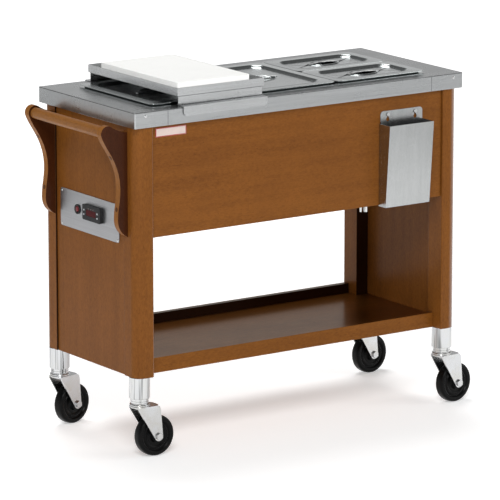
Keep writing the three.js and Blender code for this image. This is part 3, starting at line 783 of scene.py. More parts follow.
def softened(piece: bpy.types.Object, width: float = 0.0, segments: int = 2) -> bpy.types.Object:
    """Rounds the sharp edges of a piece and smooths its curved faces.

    Args:
        piece: the object.
        width: the rounding's width, or 0 for none.
        segments: how fine it is.

    Returns:
        The same object.
    """
    if width > 0:
        applied(piece, "BEVEL", width=width, segments=segments, limit_method="ANGLE",
                angle_limit=ROUNDED_FROM, use_clamp_overlap=True)
    activate(piece)
    bpy.ops.object.shade_smooth_by_angle(angle=SMOOTH_BELOW)
    return applied(piece, "WEIGHTED_NORMAL", mode="FACE_AREA", weight=80, keep_sharp=True)


def dressed(piece: bpy.types.Object, finish: Finish, body: str,
            stands_for: Iterable[str] = ()) -> bpy.types.Object:
    """Gives a finished piece its material and body.

    Args:
        piece: the object, in place.
        finish: its finish.
        body: the CAD body that it moves with.
        stands_for: the CAD nodes that it replaces.

    Returns:
        The same object.
    """
    piece.data.materials.clear()
    piece.data.materials.append(PALETTE.material(finish))
    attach(piece, body)
    if stands_for:
        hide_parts(*stands_for)
    log.info("%s rides on %s with %d faces", piece.name, body, len(piece.data.polygons))
    return piece


def body_of_node(node: str) -> str:
    """The body that a CAD node belongs to.

    Args:
        node: the node's name.

    Returns:
        The body's name.

    Raises:
        ValueError: if no body has it.
    """
    for body, nodes in frame["record"]["behaviour"]["bodies"].items():
        if node in nodes:
            return body
    raise ValueError(node)


def refined(node: str, finish: Finish, width: float, segments: int = 2) -> bpy.types.Object:
    """A piece with a CAD node's shape whose edges are rounded as the real one's are.

    Args:
        node: the CAD node that it is copied from and replaces.
        finish: its finish.
        width: the rounding's width.
        segments: how fine it is.

    Returns:
        The piece.
    """
    mesh = frame["nodes"][node].data.copy()
    piece = bpy.data.objects.new(node + "_shell", mesh)
    mesh.name = piece.name
    bpy.context.scene.collection.objects.link(piece)
    activate(piece)
    bpy.ops.mesh.customdata_custom_splitnormals_clear()
    with Editing(piece):
        bpy.ops.mesh.select_all(action="SELECT")
        bpy.ops.mesh.remove_doubles(threshold=0.02 * MM)
        bpy.ops.mesh.dissolve_limited(angle_limit=FLAT_BELOW)
    softened(piece, width, segments)
    return dressed(piece, finish, body_of_node(node), [node])


def turned(name: str, profile: Sequence[tuple[float, float]], steps: int = 48) -> bpy.types.Object:
    """A solid of revolution about Z, drawn as a chain of extrusions and spun.

    Args:
        name: the piece's name.
        profile: [radius, height] pairs that start and end on the axis, or close on themselves.
        steps: steps of the spin.

    Returns:
        The piece, at the origin.
    """
    deselect()
    bpy.ops.mesh.primitive_plane_add(size=MM, location=(0, 0, 0))
    piece = named(name)
    with Editing(piece, "VERT"):
        bpy.ops.mesh.select_all(action="SELECT")
        bpy.ops.mesh.merge(type="CENTER")
        bpy.ops.transform.translate(value=(profile[0][0], 0, profile[0][1]))
        for (r0, z0), (r1, z1) in zip(profile, profile[1:]):
            step = (r1 - r0, 0, z1 - z0)
            bpy.ops.mesh.extrude_region_move(TRANSFORM_OT_translate={"value": step})
        bpy.ops.mesh.select_all(action="SELECT")
        bpy.ops.mesh.spin(steps=steps, angle=2 * math.pi, center=(0, 0, 0), axis=(0, 0, 1))
        bpy.ops.mesh.select_all(action="SELECT")
        bpy.ops.mesh.remove_doubles(threshold=0.01 * MM)
        bpy.ops.mesh.normals_make_consistent(inside=False)
    return piece


def settled(piece: bpy.types.Object, place: Matrix) -> bpy.types.Object:
    """Moves a piece made at the origin to its place, and keeps the place in its mesh.

    Args:
        piece: the object.
        place: its place.

    Returns:
        The same object.
    """
    piece.matrix_world = place
    activate(piece)
    bpy.ops.object.transform_apply(location=True, rotation=True, scale=True)
    return piece


def facing(centre: Vector, direction: Sequence[float]) -> Matrix:
    """A place whose Z axis points in a direction."""
    turn = Vector(direction).to_track_quat("Z", "Y").to_matrix().to_4x4()
    return Matrix.Translation(centre) @ turn


def block(name: str, low: Sequence[float], high: Sequence[float]) -> bpy.types.Object:
    """A box between two corners, ready to be shaped.

    Args:
        name: its name.
        low: its lowest corner.
        high: its highest corner.

    Returns:
        The box.
    """
    deselect()
    centre = [(a + b) / 2 for a, b in zip(low, high)]
    bpy.ops.mesh.primitive_cube_add(size=1.0, location=(0, 0, 0))
    piece = named(name)
    with Editing(piece):
        bpy.ops.mesh.select_all(action="SELECT")
        bpy.ops.transform.resize(value=[b - a for a, b in zip(low, high)])
        bpy.ops.transform.translate(value=centre)
    return piece


def middle(node: str) -> Vector:
    """The centre of a CAD node's box."""
    low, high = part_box(node)
    return (low + high) / 2


@dataclass(frozen=True)
class Copy:
    """One copy of a pattern: its name and place, what it rides on and what it stands for."""

    name: str
    place: Matrix
    body: str = "chassis"
    stands_for: tuple[str, ...] = ()


def spread(pattern: bpy.types.Object, finish: Finish, copies: Iterable[Copy]) -> None:
    """Copies a pattern made at the origin, each copy with its own mesh, and takes it away.

    Args:
        pattern: the shape, modelled once.
        finish: the finish of the copies.
        copies: the copies that are wanted.
    """
    for copy in copies:
        piece = bpy.data.objects.new(copy.name, pattern.data.copy())
        piece.data.name = copy.name
        bpy.context.scene.collection.objects.link(piece)
        settled(piece, copy.place)
        dressed(piece, finish, copy.body, copy.stands_for)
    bpy.data.objects.remove(pattern)


def screw_head(radius: float, rise: float = 0.4) -> bpy.types.Object:
    """A domed screw head with a cross recess, on the origin and facing Z.

    Args:
        radius: the head's radius.
        rise: its height as a share of its radius.

    Returns:
        The head.
    """
    top = radius * rise
    dome = [(radius * math.cos(a), top * (0.35 + 0.65 * math.sin(a)))
            for a in [i * math.pi / 12 for i in range(1, 6)]]
    head = turned("head", [(0, 0), (radius, 0), (radius, top * 0.35), *dome, (0, top)], 28)
    slot, reach = radius * 0.14, radius * 0.58
    for x, y in ((reach, slot), (slot, reach)):
        cutter = block("cutter", (-x, -y, top * 0.45), (x, y, top * 2))
        applied(head, "BOOLEAN", operation="DIFFERENCE", object=cutter, solver="EXACT")
        bpy.data.objects.remove(cutter)
    return softened(head)


# Sub-assemblies


@dataclass
class WoodBody:
    """Posts, panels, aprons and shelf of stained wood."""

    post_round: float = 1.8 * MM
    panel_round: float = 0.7 * MM
    shelf_round: float = 1.4 * MM
    badge_size: tuple[float, float] = (86 * MM, 22 * MM)
    badge_thick: float = 1.0 * MM
    badge_inset: float = 10 * MM
    badge_drop: float = 6 * MM
    badge_gap: float = 0.1 * MM
    badge_round: float = 0.3 * MM

    def build(self) -> None:
        """Builds the body and the blank plate on its front apron."""
        for corner in CORNERS:
            finish = Palette.WOOD_REAR if corner.startswith("rear") else Palette.WOOD_UP
            refined("post_" + corner, finish, self.post_round, 3)
        for side in ("left", "right"):
            refined("end_panel_" + side, Palette.WOOD_PANEL, self.panel_round)
        for side in ("front", "rear"):
            refined("apron_" + side, Palette.WOOD_ALONG, self.shelf_round)
        refined("shelf", Palette.WOOD_SHELF, self.shelf_round, 3)
        self._badge()

    def _badge(self) -> None:
        """A blank enamelled plate at the apron's upper left corner."""
        low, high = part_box("apron_front")
        x0, z1 = low.x + self.badge_inset, high.z - self.badge_drop
        width, height = self.badge_size
        face = low.y - self.badge_gap
        low_corner = (x0, face - self.badge_thick, z1 - height)
        piece = block("blank_plate", low_corner, (x0 + width, face, z1))
        softened(piece, self.badge_round)
        centre = (x0 + width / 2, face, z1 - height / 2)
        finish = BorderedPlate("enamelled_plate", "sheet_steel", centre, (width / 2, height / 2))
        dressed(piece, finish, "chassis")


@dataclass
class PushHandle:
    """Two shaped brackets, the bar between them and the plugs over their screws."""

    bracket_round: float = 3.2 * MM
    foot: float = 5 * MM
    plug_radius: float = 5.5 * MM
    plug_heights: tuple[float, float] = (0.728, 0.603)
    bar_arris: float = 1.0 * MM
    bar_rings: int = 12

    def build(self) -> None:
        """Builds the handle."""
        plugs = []
        for side in ("front", "rear"):
            node = "handle_bracket_" + side
            refined(node, Palette.WOOD_HANDLE, self.bracket_round, 4)
            for number, height in enumerate(self.plug_heights, 1):
                edge, slope = self._edge_at(node, height)
                place = facing(Vector((edge, middle(node).y, height)), (-1, 0, slope))
                plugs.append(Copy(f"screw_plug_{side}_{number}", place))
        spread(self._plug(), Palette.PLUG, plugs)
        self._bar()

    def _plug(self) -> bpy.types.Object:
        """The pattern of the plugs.

        Returns:
            A slightly domed wooden button.
        """
        r = self.plug_radius
        profile = [(0, -1.5 * MM), (r, -1.5 * MM), (r, 0.1 * MM), (r * 0.9, 0.45 * MM),
                   (r * 0.5, 0.7 * MM), (0, 0.8 * MM)]
        return softened(turned("plug", profile, 32))

    def _edge_at(self, node: str, height: float) -> tuple[float, float]:
        """Where a bracket's outer edge is at a height, and how it leans there.

        Args:
            node: the bracket's CAD node.
            height: the height above the floor.

        Returns:
            The edge's X, and how far it goes along X for each metre up.
        """
        points = {(round(v.co.z, 5), round(v.co.x, 5)) for v in frame["nodes"][node].data.vertices}
        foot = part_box(node)[1].x
        outer = [(z, x) for z, x in sorted(points) if x < foot - self.foot]
        below = max((p for p in outer if p[0] <= height), key=lambda p: p[0])
        above = min((p for p in outer if p[0] > height), key=lambda p: p[0])
        run = (above[1] - below[1]) / (above[0] - below[0])
        return below[1] + run * (height - below[0]), run

    def _bar(self) -> None:
        """The round bar, with softened ends."""
        low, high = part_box("handle_bar")
        radius, half = (high.z - low.z) / 2, (high.y - low.y) / 2
        inner, straight = radius - self.bar_arris, half - self.bar_arris
        rings = [(radius, -straight + 2 * straight * i / self.bar_rings)
                 for i in range(self.bar_rings + 1)]
        bar = turned("push_bar", [(0, -half), (inner, -half), *rings, (inner, half), (0, half)], 64)
        settled(softened(bar), facing(middle("handle_bar"), (0, 1, 0)))
        dressed(bar, Palette.WOOD_BAR, "chassis", ["handle_bar"])


@dataclass
class PressedSheet:
    """A sheet pressed from a rounded rectangle, drawn as rings that are bridged one by one.

    Each ring is [inset from the outline, height, corner radius].
    """

    name: str
    half_x: float
    half_y: float
    rings: Sequence[Ring]
    gauge: float = 1.1 * MM
    bowl: Optional[tuple[float, float, float]] = None
    corner_steps: int = 9
    level_slack: float = 0.002 * MM
    outline_slack: float = 0.02 * MM

    def build(self) -> bpy.types.Object:
        """Presses the sheet.

        Returns:
            The sheet, with the middle of its outline at the origin.
        """
        piece = self._square()
        with Editing(piece, "EDGE") as edit:
            self._draw(edit)
            if self.bowl:
                self._press_bowl(edit)
            else:
                self._select_outlines(edit, self._outline(self.rings[-1]))
                bpy.ops.mesh.edge_face_add()
            bpy.ops.mesh.select_all(action="SELECT")
            bpy.ops.mesh.normals_make_consistent(inside=False)
            faces = bmesh.from_edit_mesh(piece.data).faces
            if sum(face.normal.z * face.calc_area() for face in faces) < 0:
                bpy.ops.mesh.flip_normals()
        applied(piece, "SOLIDIFY", thickness=self.gauge, offset=-1.0)
        return softened(piece)

    def bead(self) -> bpy.types.Object:
        """Joins the last ring to the first as well.

        Returns:
            A closed bead, with the middle of its outline at the origin.
        """
        piece = self._square()
        with Editing(piece, "EDGE") as edit:
            self._draw(edit)
            self._bridge(edit, self._outline(self.rings[-1]), self._outline(self.rings[0]))
            bpy.ops.mesh.select_all(action="SELECT")
            bpy.ops.mesh.normals_make_consistent(inside=False)
        return softened(piece)

    def _square(self) -> bpy.types.Object:
        """The square that the first ring is made from.

        Returns:
            The piece.
        """
        deselect()
        bpy.ops.mesh.primitive_plane_add(size=1.0, location=(0, 0, 0))
        return named(self.name)

    def _draw(self, edit: Editing) -> None:
        """Shapes every ring and bridges it to the one before.

        Args:
            edit: the piece in edit mode.
        """
        bpy.ops.mesh.select_all(action="SELECT")
        self._shape_ring(self.rings[0])
        for before, ring in zip(self.rings, self.rings[1:]):
            bpy.ops.mesh.primitive_plane_add(size=1.0, location=(0, 0, 0))
            self._shape_ring(ring)
            self._bridge(edit, self._outline(before), self._outline(ring))

    def _shape_ring(self, ring: Ring) -> None:
        """Turns the selected unit square into one rounded outline, without its face.

        Args:
            ring: inset, height and corner radius.
        """
        inset, height, corner = ring
        bpy.ops.mesh.select_mode(type="VERT")
        bpy.ops.transform.resize(value=(2 * (self.half_x - inset), 2 * (self.half_y - inset), 1))
        bpy.ops.transform.translate(value=(0, 0, height))
        bpy.ops.mesh.bevel(offset=corner, segments=self.corner_steps, affect="VERTICES")
        bpy.ops.mesh.select_mode(type="FACE")
        bpy.ops.mesh.delete(type="ONLY_FACE")
        bpy.ops.mesh.select_mode(type="EDGE")

    def _outline(self, ring: Ring) -> Callable[[Any], bool]:
        """Makes a test of whether a vertex is on a ring.

        Args:
            ring: inset, height and corner radius.

        Returns:
            The test.
        """
        inset, height, corner = ring
        reach = Vector((self.half_x - inset - corner, self.half_y - inset - corner))

        def on_ring(vertex: Any) -> bool:
            """Whether the vertex is at the ring's height and on its outline.

            Args:
                vertex: the vertex.

            Returns:
                The answer.
            """
            out = Vector((abs(vertex.co.x), abs(vertex.co.y))) - reach
            beyond = Vector((max(out.x, 0), max(out.y, 0))).length + min(max(out.x, out.y), 0)
            level = abs(vertex.co.z - height) < self.level_slack
            return level and abs(beyond - corner) < self.outline_slack

        return on_ring

    def _select_outlines(self, edit: Editing, *tests: Callable[[Any], bool]) -> None:
        """Selects the edges that lie wholly on one of the outlines."""
        edit.choose(lambda edge: any(all(test(v) for v in edge.verts) for test in tests))

    def _bridge(self, edit: Editing, first: Callable[[Any], bool],
                second: Callable[[Any], bool]) -> None:
        """Joins two outlines with a band of faces."""
        self._select_outlines(edit, first, second)
        bpy.ops.mesh.bridge_edge_loops()

    def _press_bowl(self, edit: Editing) -> None:
        """Presses an oval bowl into the middle of the sheet's floor.

        Args:
            edit: the piece in edit mode.
        """
        reach_x, reach_y, depth = self.bowl
        level = self.rings[-1][1]
        vertices = 4 * (self.corner_steps + 1)
        bpy.ops.mesh.primitive_circle_add(vertices=vertices, radius=1.0, location=(0, 0, level))
        bpy.ops.transform.resize(value=(reach_x, reach_y, 1))

        def on_oval(vertex: Any) -> bool:
            """Whether the vertex is on the bowl's edge."""
            across = (vertex.co.x / reach_x) ** 2 + (vertex.co.y / reach_y) ** 2
            return abs(vertex.co.z - level) < self.level_slack and abs(across - 1) < 0.01

        self._bridge(edit, self._outline(self.rings[-1]), on_oval)
        self._select_outlines(edit, on_oval)
        bpy.ops.mesh.edge_face_add()
        bpy.ops.mesh.select_mode(type="FACE")
        lip = scaled([(0, 0), (1.2, 0.6), (2.4, 0.9), (3.8, 0.9), (5.0, 0.3)])
        for (inset, rise), (next_inset, next_rise) in zip(lip, lip[1:]):
            shares = [(reach - next_inset) / (reach - inset) for reach in (reach_x, reach_y)]
            self._push(next_rise - rise, *shares)
        turns = [math.pi / 2 * i / 8 for i in range(8)]
        for first, second in zip(turns, turns[1:]):
            drop = (math.sin(second) - math.sin(first)) * depth
            share = math.cos(second) / math.cos(first)
            self._push(-drop, share, share)

    def _push(self, rise: float, share_x: float, share_y: float) -> None:
        """Extrudes what is selected up by a rise, and scales it about the middle."""
        bpy.ops.mesh.extrude_region_move(TRANSFORM_OT_translate={"value": (0, 0, rise)})
        bpy.ops.transform.resize(value=(share_x, share_y, 1), center_override=(0, 0, 0))


@dataclass
class Pans:
    """The pans, their lids and what carries them."""

    gauge: float = 1.1 * MM
    half_bowl: tuple[float, float] = (64 * MM, 44 * MM)
    quarter_bowl: tuple[float, float] = (42 * MM, 28 * MM)
    bowl_depth: float = 8 * MM
    bead_gap: float = 0.35
    grip_half: float = 5 * MM
    grip_gauge: float = 1.6 * MM
    grip_hold: float = 3.5 * MM
    grip_rise: float = 3.4 * MM
    grip_drop: float = 4.6 * MM
    grip_spans: int = 18
    bar_round: float = 0.8 * MM
    tank_round: float = 0.6 * MM

    def build(self) -> None:
        """Builds every pan and lid, and finishes what lies under them."""
        self._pans_of(("left", "middle"), self.half_bowl)
        self._pans_of(("right_front", "right_rear"), self.quarter_bowl)
        for node in ("pan_bar_left", "pan_bar_right", "under_tank_casing"):
            refined(node, Palette.TANK, self.bar_round)
        refined("water_tank", Palette.TANK, self.tank_round)

    def _pans_of(self, names: tuple[str, ...], bowl: tuple[float, float]) -> None:
        """Builds the pans and lids of one size.

        Args:
            names: the names of the pans.
            bowl: half sizes of the bowl in their lids.
        """
        pan, lid = "pan_" + names[0], "lid_" + names[0]
        stand = (self._top(pan).z - self._top(lid).z) / MM + self.bead_gap
        for pattern, finish, piece, kind, replacing in (
                (self._pan(pan), Palette.PAN, "gastro_pan_", "pan_", True),
                (self._lid(lid, bowl), Palette.PAN, "pan_lid_", "lid_", True),
                (self._bead(lid, stand), Palette.BEAD, "lid_bead_", "lid_", False),
                (self._grip(bowl[0]), Palette.CHROME, "lid_grip_", "lid_", False)):
            copies = []
            for name in names:
                node = kind + name
                place = Matrix.Translation(self._top(node))
                copies.append(Copy(piece + name, place, node, (node,) if replacing else ()))
            spread(pattern, finish, copies)

    def _top(self, node: str) -> Vector:
        """The middle of a node's top."""
        return Vector((*middle(node).xy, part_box(node)[1].z))

    def _sheet(self, node: str, rings: Sequence[Ring], bowl: Optional[Ring] = None,
               steps: int = 9) -> PressedSheet:
        """A sheet with a node's outline.

        Args:
            node: the CAD node.
            rings: inset, height and corner radius of each ring, in millimetres.
            bowl: half sizes and depth of its bowl.
            steps: how fine its corners are.

        Returns:
            The sheet, not pressed yet.
        """
        low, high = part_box(node)
        half_x, half_y = (high.x - low.x) / 2, (high.y - low.y) / 2
        return PressedSheet("sheet", half_x, half_y, scaled(rings), self.gauge, bowl, steps)

    def _pan(self, node: str) -> bpy.types.Object:
        """The pattern of a deep-drawn pan.

        Args:
            node: one of the CAD nodes of this size.

        Returns:
            The pan, with its rim, tapered wall and rounded floor.
        """
        low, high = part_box(node)
        floor = -(high.z - low.z) / MM + 1.2
        return self._sheet(node, [
            (0, -1.5, 14), (0, -0.5, 14), (0.3, -0.1, 14), (0.9, 0, 14), (10.8, 0, 18),
            (11.9, -0.3, 19), (12.7, -1.2, 20), (13.1, -3, 22), (13.4, -12, 28),
            (20, floor + 14, 33), (21.5, floor + 7, 33), (25, floor + 2.6, 31),
            (31, floor + 0.4, 28), (37, floor, 24),
        ]).build()

    def _lid(self, node: str, bowl: tuple[float, float]) -> bpy.types.Object:
        """The pattern of a pressed lid.

        Args:
            node: one of the CAD nodes of this size.
            bowl: half sizes of its bowl.

        Returns:
            The lid, with its sunk field and its bowl.
        """
        return self._sheet(node, [
            (0, -1.2, 14), (0, -0.8, 14), (0.3, -0.2, 14), (0.9, 0, 14), (19.5, 0, 32),
            (20.5, 0.3, 32), (22.5, 0.4, 31), (24, 0, 30), (25.2, -0.9, 29), (26.4, -2.6, 28),
            (27.6, -3.8, 27), (29.2, -4.5, 26), (31.5, -4.6, 25),
        ], (*bowl, self.bowl_depth)).build()

    def _bead(self, node: str, stand: float) -> bpy.types.Object:
        """The pattern of the closed bead under a lid's edge.

        Args:
            node: one of the CAD nodes of this size.
            stand: height of its foot, in millimetres.

        Returns:
            The bead.
        """
        return self._sheet(node, [
            (9, -1.3, 11), (9, stand + 0.8, 11), (9.6, stand, 11), (12.4, stand, 10),
            (13, stand + 0.8, 9), (13, -1.3, 9),
        ], steps=6).bead()

    def _grip(self, reach: float) -> bpy.types.Object:
        """The pattern of the low strap that arches across a lid's bowl.

        Args:
            reach: half the bowl's length.

        Returns:
            The strap.
        """
        reach, half, spans = reach + self.grip_hold, self.grip_half, self.grip_spans
        strap = block("strap", (-reach, -half, 0), (reach, half, self.grip_gauge))
        with Editing(strap, "EDGE") as edit:
            edit.choose(lambda edge: abs(edge.verts[0].co.x - edge.verts[1].co.x) > reach)
            bpy.ops.mesh.subdivide(number_cuts=spans - 1)
        with Editing(strap, "VERT") as edit:
            for step in range(spans + 1):
                place = reach * (2 * step / spans - 1)
                rise = self.grip_rise * (1 - (place / reach) ** 2)
                edit.choose(lambda v, place=place: abs(v.co.x - place) < 0.1 * MM)
                bpy.ops.transform.translate(value=(0, 0, rise))
        softened(strap, 0.5 * MM)
        return settled(strap, Matrix.Translation((0, 0, -self.grip_drop)))


@dataclass
class Worktop:
    """The stainless worktop, its fascia fasteners and the stand with the cutting board."""

    edge_round: float = 0.9 * MM
    stand_round: float = 0.6 * MM
    board_round: float = 1.6 * MM
    fastener_x: tuple[float, float] = (-0.447, 0.449)
    fastener_drop: float = 10.5 * MM
    fastener_sunk: float = 0.05 * MM
    fastener_radius: float = 3.6 * MM

    def build(self) -> None:
        """Builds the worktop and what stands on it."""
        refined("worktop", Palette.WORKTOP, self.edge_round, 3)
        refined("board_stand", Palette.SHEET, self.stand_round)
        refined("cutting_board", Palette.BOARD, self.board_round, 3)
        low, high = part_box("worktop")
        y, z = low.y - self.fastener_sunk, high.z - self.fastener_drop
        copies = []
        for i, x in enumerate(self.fastener_x, 1):
            back = Vector((middle("worktop").x + x, y, z))
            copies.append(Copy(f"fascia_fastener_{i}", facing(back, (0, -1, 0))))
        spread(screw_head(self.fastener_radius), Palette.ZINC, copies)


@dataclass
class ControlPanel:
    """Control plate, rocker switch and thermostat on the left end."""

    plate_round: float = 0.5 * MM
    rocker_round: float = 0.7 * MM
    case_round: float = 0.8 * MM
    frame_round: float = 0.3 * MM
    screw_inset: float = 6 * MM
    screw_radius: float = 3.6 * MM
    lamp_radius: float = 0.9 * MM
    lamp_rise: float = 3.2 * MM
    lamp_proud: float = 0.02 * MM

    def build(self) -> None:
        """Builds the controls."""
        refined("control_plate", Palette.PLATE, self.plate_round)
        refined("switch_bezel", Palette.BLACK, self.frame_round)
        refined("rocker_switch", Palette.RED, self.rocker_round, 3)
        refined("thermostat", Palette.BLACK, self.case_round, 3)
        refined("display_window", Palette.WINDOW, self.frame_round)
        self._screws()
        self._buttons()
        self._lamps()

    def _screws(self) -> None:
        """A screw in each corner of the plate."""
        low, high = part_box("control_plate")
        inset = self.screw_inset
        corners = [(low.x, y, z) for y in (low.y + inset, high.y - inset)
                   for z in (low.z + inset, high.z - inset)]
        spread(screw_head(self.screw_radius), Palette.ZINC,
               [Copy(f"plate_screw_{i}", facing(Vector(corner), (-1, 0, 0)))
                for i, corner in enumerate(corners, 1)])

    def _buttons(self) -> None:
        """The domed buttons."""
        low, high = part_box("button_1")
        radius, length = (high.y - low.y) / 2, high.x - low.x
        button = turned("button", [(0, 0), (radius, 0), (radius, length - 0.7 * MM),
                                   (radius * 0.88, length - 0.3 * MM),
                                   (radius * 0.5, length - 0.06 * MM), (0, length)], 28)
        copies = []
        for node in [f"button_{number}" for number in range(1, 5)]:
            back = Vector((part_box(node)[1].x, *middle(node).yz))
            copies.append(Copy(node + "_cap", facing(back, (-1, 0, 0)), node, (node,)))
        spread(softened(button), Palette.BUTTON, copies)

    def _lamps(self) -> None:
        """Three indicator lamps above the display."""
        low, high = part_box("display_window")
        face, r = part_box("thermostat")[0].x - self.lamp_proud, self.lamp_radius
        lamp = turned("lamp", [(0, -0.4 * MM), (r, -0.4 * MM), (r, 0.1 * MM), (r * 0.7, 0.3 * MM),
                               (0, 0.4 * MM)], 20)
        copies = []
        for i in (1, 2, 3):
            back = Vector((face, low.y + (high.y - low.y) * i / 4, high.z + self.lamp_rise))
            copies.append(Copy(f"indicator_lamp_{i}", facing(back, (-1, 0, 0))))
        spread(softened(lamp), Palette.LAMP, copies)


@dataclass
class Pocket:
    """The steel pocket and the screws that it hangs on."""

    edge_round: float = 0.7 * MM
    shank_round: float = 0.2 * MM
    head_depth: float = 2.4 * MM
    head_rise: float = 0.5

    def build(self) -> None:
        """Builds the pocket and its screws."""
        refined("pocket", Palette.POCKET, self.edge_round, 3)
        heads = []
        for number in (1, 2):
            node = f"pocket_screw_{number}"
            refined(node, Palette.ZINC, self.shank_round)
            low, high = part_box(node)
            back = Vector((middle(node).x, low.y + self.head_depth, middle(node).z))
            heads.append(Copy(f"pocket_screw_head_{number}", facing(back, (0, -1, 0))))
        spread(screw_head((high.x - low.x) / 2, self.head_rise), Palette.ZINC, heads)


@dataclass
class Casters:
    """The chromed legs, each with a fork, a wheel and its axle bolt."""

    wheel_radius: float = 50 * MM
    wheel_half: float = 13 * MM
    leg_round: float = 1.5 * MM
    leg_shoulder: float = 13 * MM
    fork_round: float = 1.0 * MM
    axle_round: float = 0.6 * MM
    seal_radius: float = 22.0 * MM
    seal_drop: float = 5.5 * MM
    race_radius: float = 24.6 * MM
    race_drop: float = 9.4 * MM
    race_wall: float = 4.0 * MM

    def build(self) -> None:
        """Builds the legs and the casters."""
        legs, wheels, seals, races = [], [], [], []
        for corner in CORNERS:
            refined("fork_" + corner, Palette.ZINC, self.fork_round, 3)
            refined("axle_" + corner, Palette.ZINC, self.axle_round)
            x, y = middle("leg_" + corner).xy
            foot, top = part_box("leg_" + corner)[0].z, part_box("fork_" + corner)[1].z
            roll = next(joint for joint in frame["joints"] if joint["name"] == "roll_" + corner)
            axle = facing(Vector(roll["pos_m"]), roll["axis"])
            legs.append(Copy("chromed_leg_" + corner, Matrix.Translation((x, y, foot)),
                             stands_for=("leg_" + corner,)))
            wheels.append(Copy("rolling_wheel_" + corner, axle, "roller_" + corner,
                               ("wheel_" + corner,)))
            seals.append(Copy("bearing_seal_" + corner,
                              Matrix.Translation((x, y, top - self.seal_drop)), "caster_" + corner))
            races.append(Copy("bearing_race_" + corner,
                              Matrix.Translation((x, y, top - self.race_drop)), "caster_" + corner))
        spread(self._leg(), Palette.CHROME, legs)
        spread(self._wheel(), Palette.TYRE, wheels)
        spread(self._seal(), Palette.BLACK, seals)
        spread(self._race(), Palette.ZINC, races)

    def _leg(self) -> bpy.types.Object:
        """The pattern of the legs.

        Returns:
            A tube with a rolled shoulder above its collar.
        """
        low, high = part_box("leg_" + CORNERS[0])
        r, length = (high.x - low.x) / 2, high.z - low.z
        collar, neck = r - 3.5 * MM, r - 4.2 * MM
        curl, shoulder = self.leg_round, self.leg_shoulder
        turn = [(r - curl * (1 - math.sin(a)), shoulder - curl * math.cos(a))
                for a in [i * math.pi / 10 for i in range(6)]]
        profile = [(0, 0), (collar - 0.8 * MM, 0), (collar, 0.8 * MM), (collar, 4.5 * MM),
                   (neck, 5 * MM), (neck, 6 * MM), (collar, 6.5 * MM), (collar, shoulder - curl),
                   *turn, (r, shoulder + MM), (r, length - MM), (r, length), (0, length)]
        return softened(turned("leg", profile, 72))

    def _wheel(self) -> bpy.types.Object:
        """The pattern of the wheels.

        Returns:
            A solid wheel with a crowned tread, a moulded rim and a hub.
        """
        side = scaled([(6.2, 17), (12.5, 17), (14, 16), (15, 12), (17.5, 8.6), (21, 8), (25, 8),
                       (26.5, 9.6), (29, 10.4), (31.5, 10.2), (33, 8.6), (36, 8.8)])
        tread = scaled([(12, 1), (10, 0), (5, 0), (2.6, 0.9), (1, 3), (0.25, 6), (0, 9.5)])
        side += [(self.wheel_radius - a, self.wheel_half - b) for a, b in tread]
        profile = [*side, *[(a, -b) for a, b in reversed(side)], side[0]]
        return softened(turned("wheel", profile, 96))

    def _seal(self) -> bpy.types.Object:
        """The pattern of the dark dust rings under the legs' collars.

        Returns:
            The ring.
        """
        r, inner = self.seal_radius, self.seal_radius - 2 * MM
        profile = [(inner, 0), (r - 0.3 * MM, 0), (r, 0.4 * MM), (r, 1.8 * MM),
                   (r - 0.5 * MM, 2.3 * MM), (inner, 2.3 * MM), (inner, 0)]
        return softened(turned("seal", profile, 56))

    def _race(self) -> bpy.types.Object:
        """The pattern of the rolled bearing races round the heads of the forks.

        Returns:
            A race of two beads.
        """
        outer, inner = self.race_radius, self.race_radius - self.race_wall
        bulge, half, step = 1.4 * MM, 1.7 * MM, 4.0 * MM
        profile = [(inner, 0)]
        for base in (0, step):
            profile += [(outer - bulge + bulge * math.sin(a), base + half - half * math.cos(a))
                        for a in [i * math.pi / 8 for i in range(9)]]
        profile += [(inner, step + 2 * half), (inner, 0)]
        return softened(turned("race", profile, 64))


@dataclass
class Services:
    """Heater, probe, cable inlet and drain."""

    probe_round: float = 0.3 * MM
    gland_round: float = 0.5 * MM
    drain_round: float = 0.8 * MM

    def build(self) -> None:
        """Builds what serves the tank."""
        refined("heating_element", Palette.CHROME, 0)
        refined("temperature_probe", Palette.BRASS, self.probe_round)
        refined("cable_gland", Palette.BLACK, self.gland_round)
        refined("drain_valve", Palette.CHROME, self.drain_round)
        refined("drain_lever", Palette.CHROME, self.drain_round)


@dataclass(frozen=True)
class Card:
    """A toned card on the studio's floor: its size, place and tone."""

    size: tuple[float, float]
    place: Point
    tone: float


@dataclass(frozen=True)
class Lamp:
    """A soft round lamp: its place, width in metres and power in watts."""

    name: str
    place: Point
    width: float
    power: float


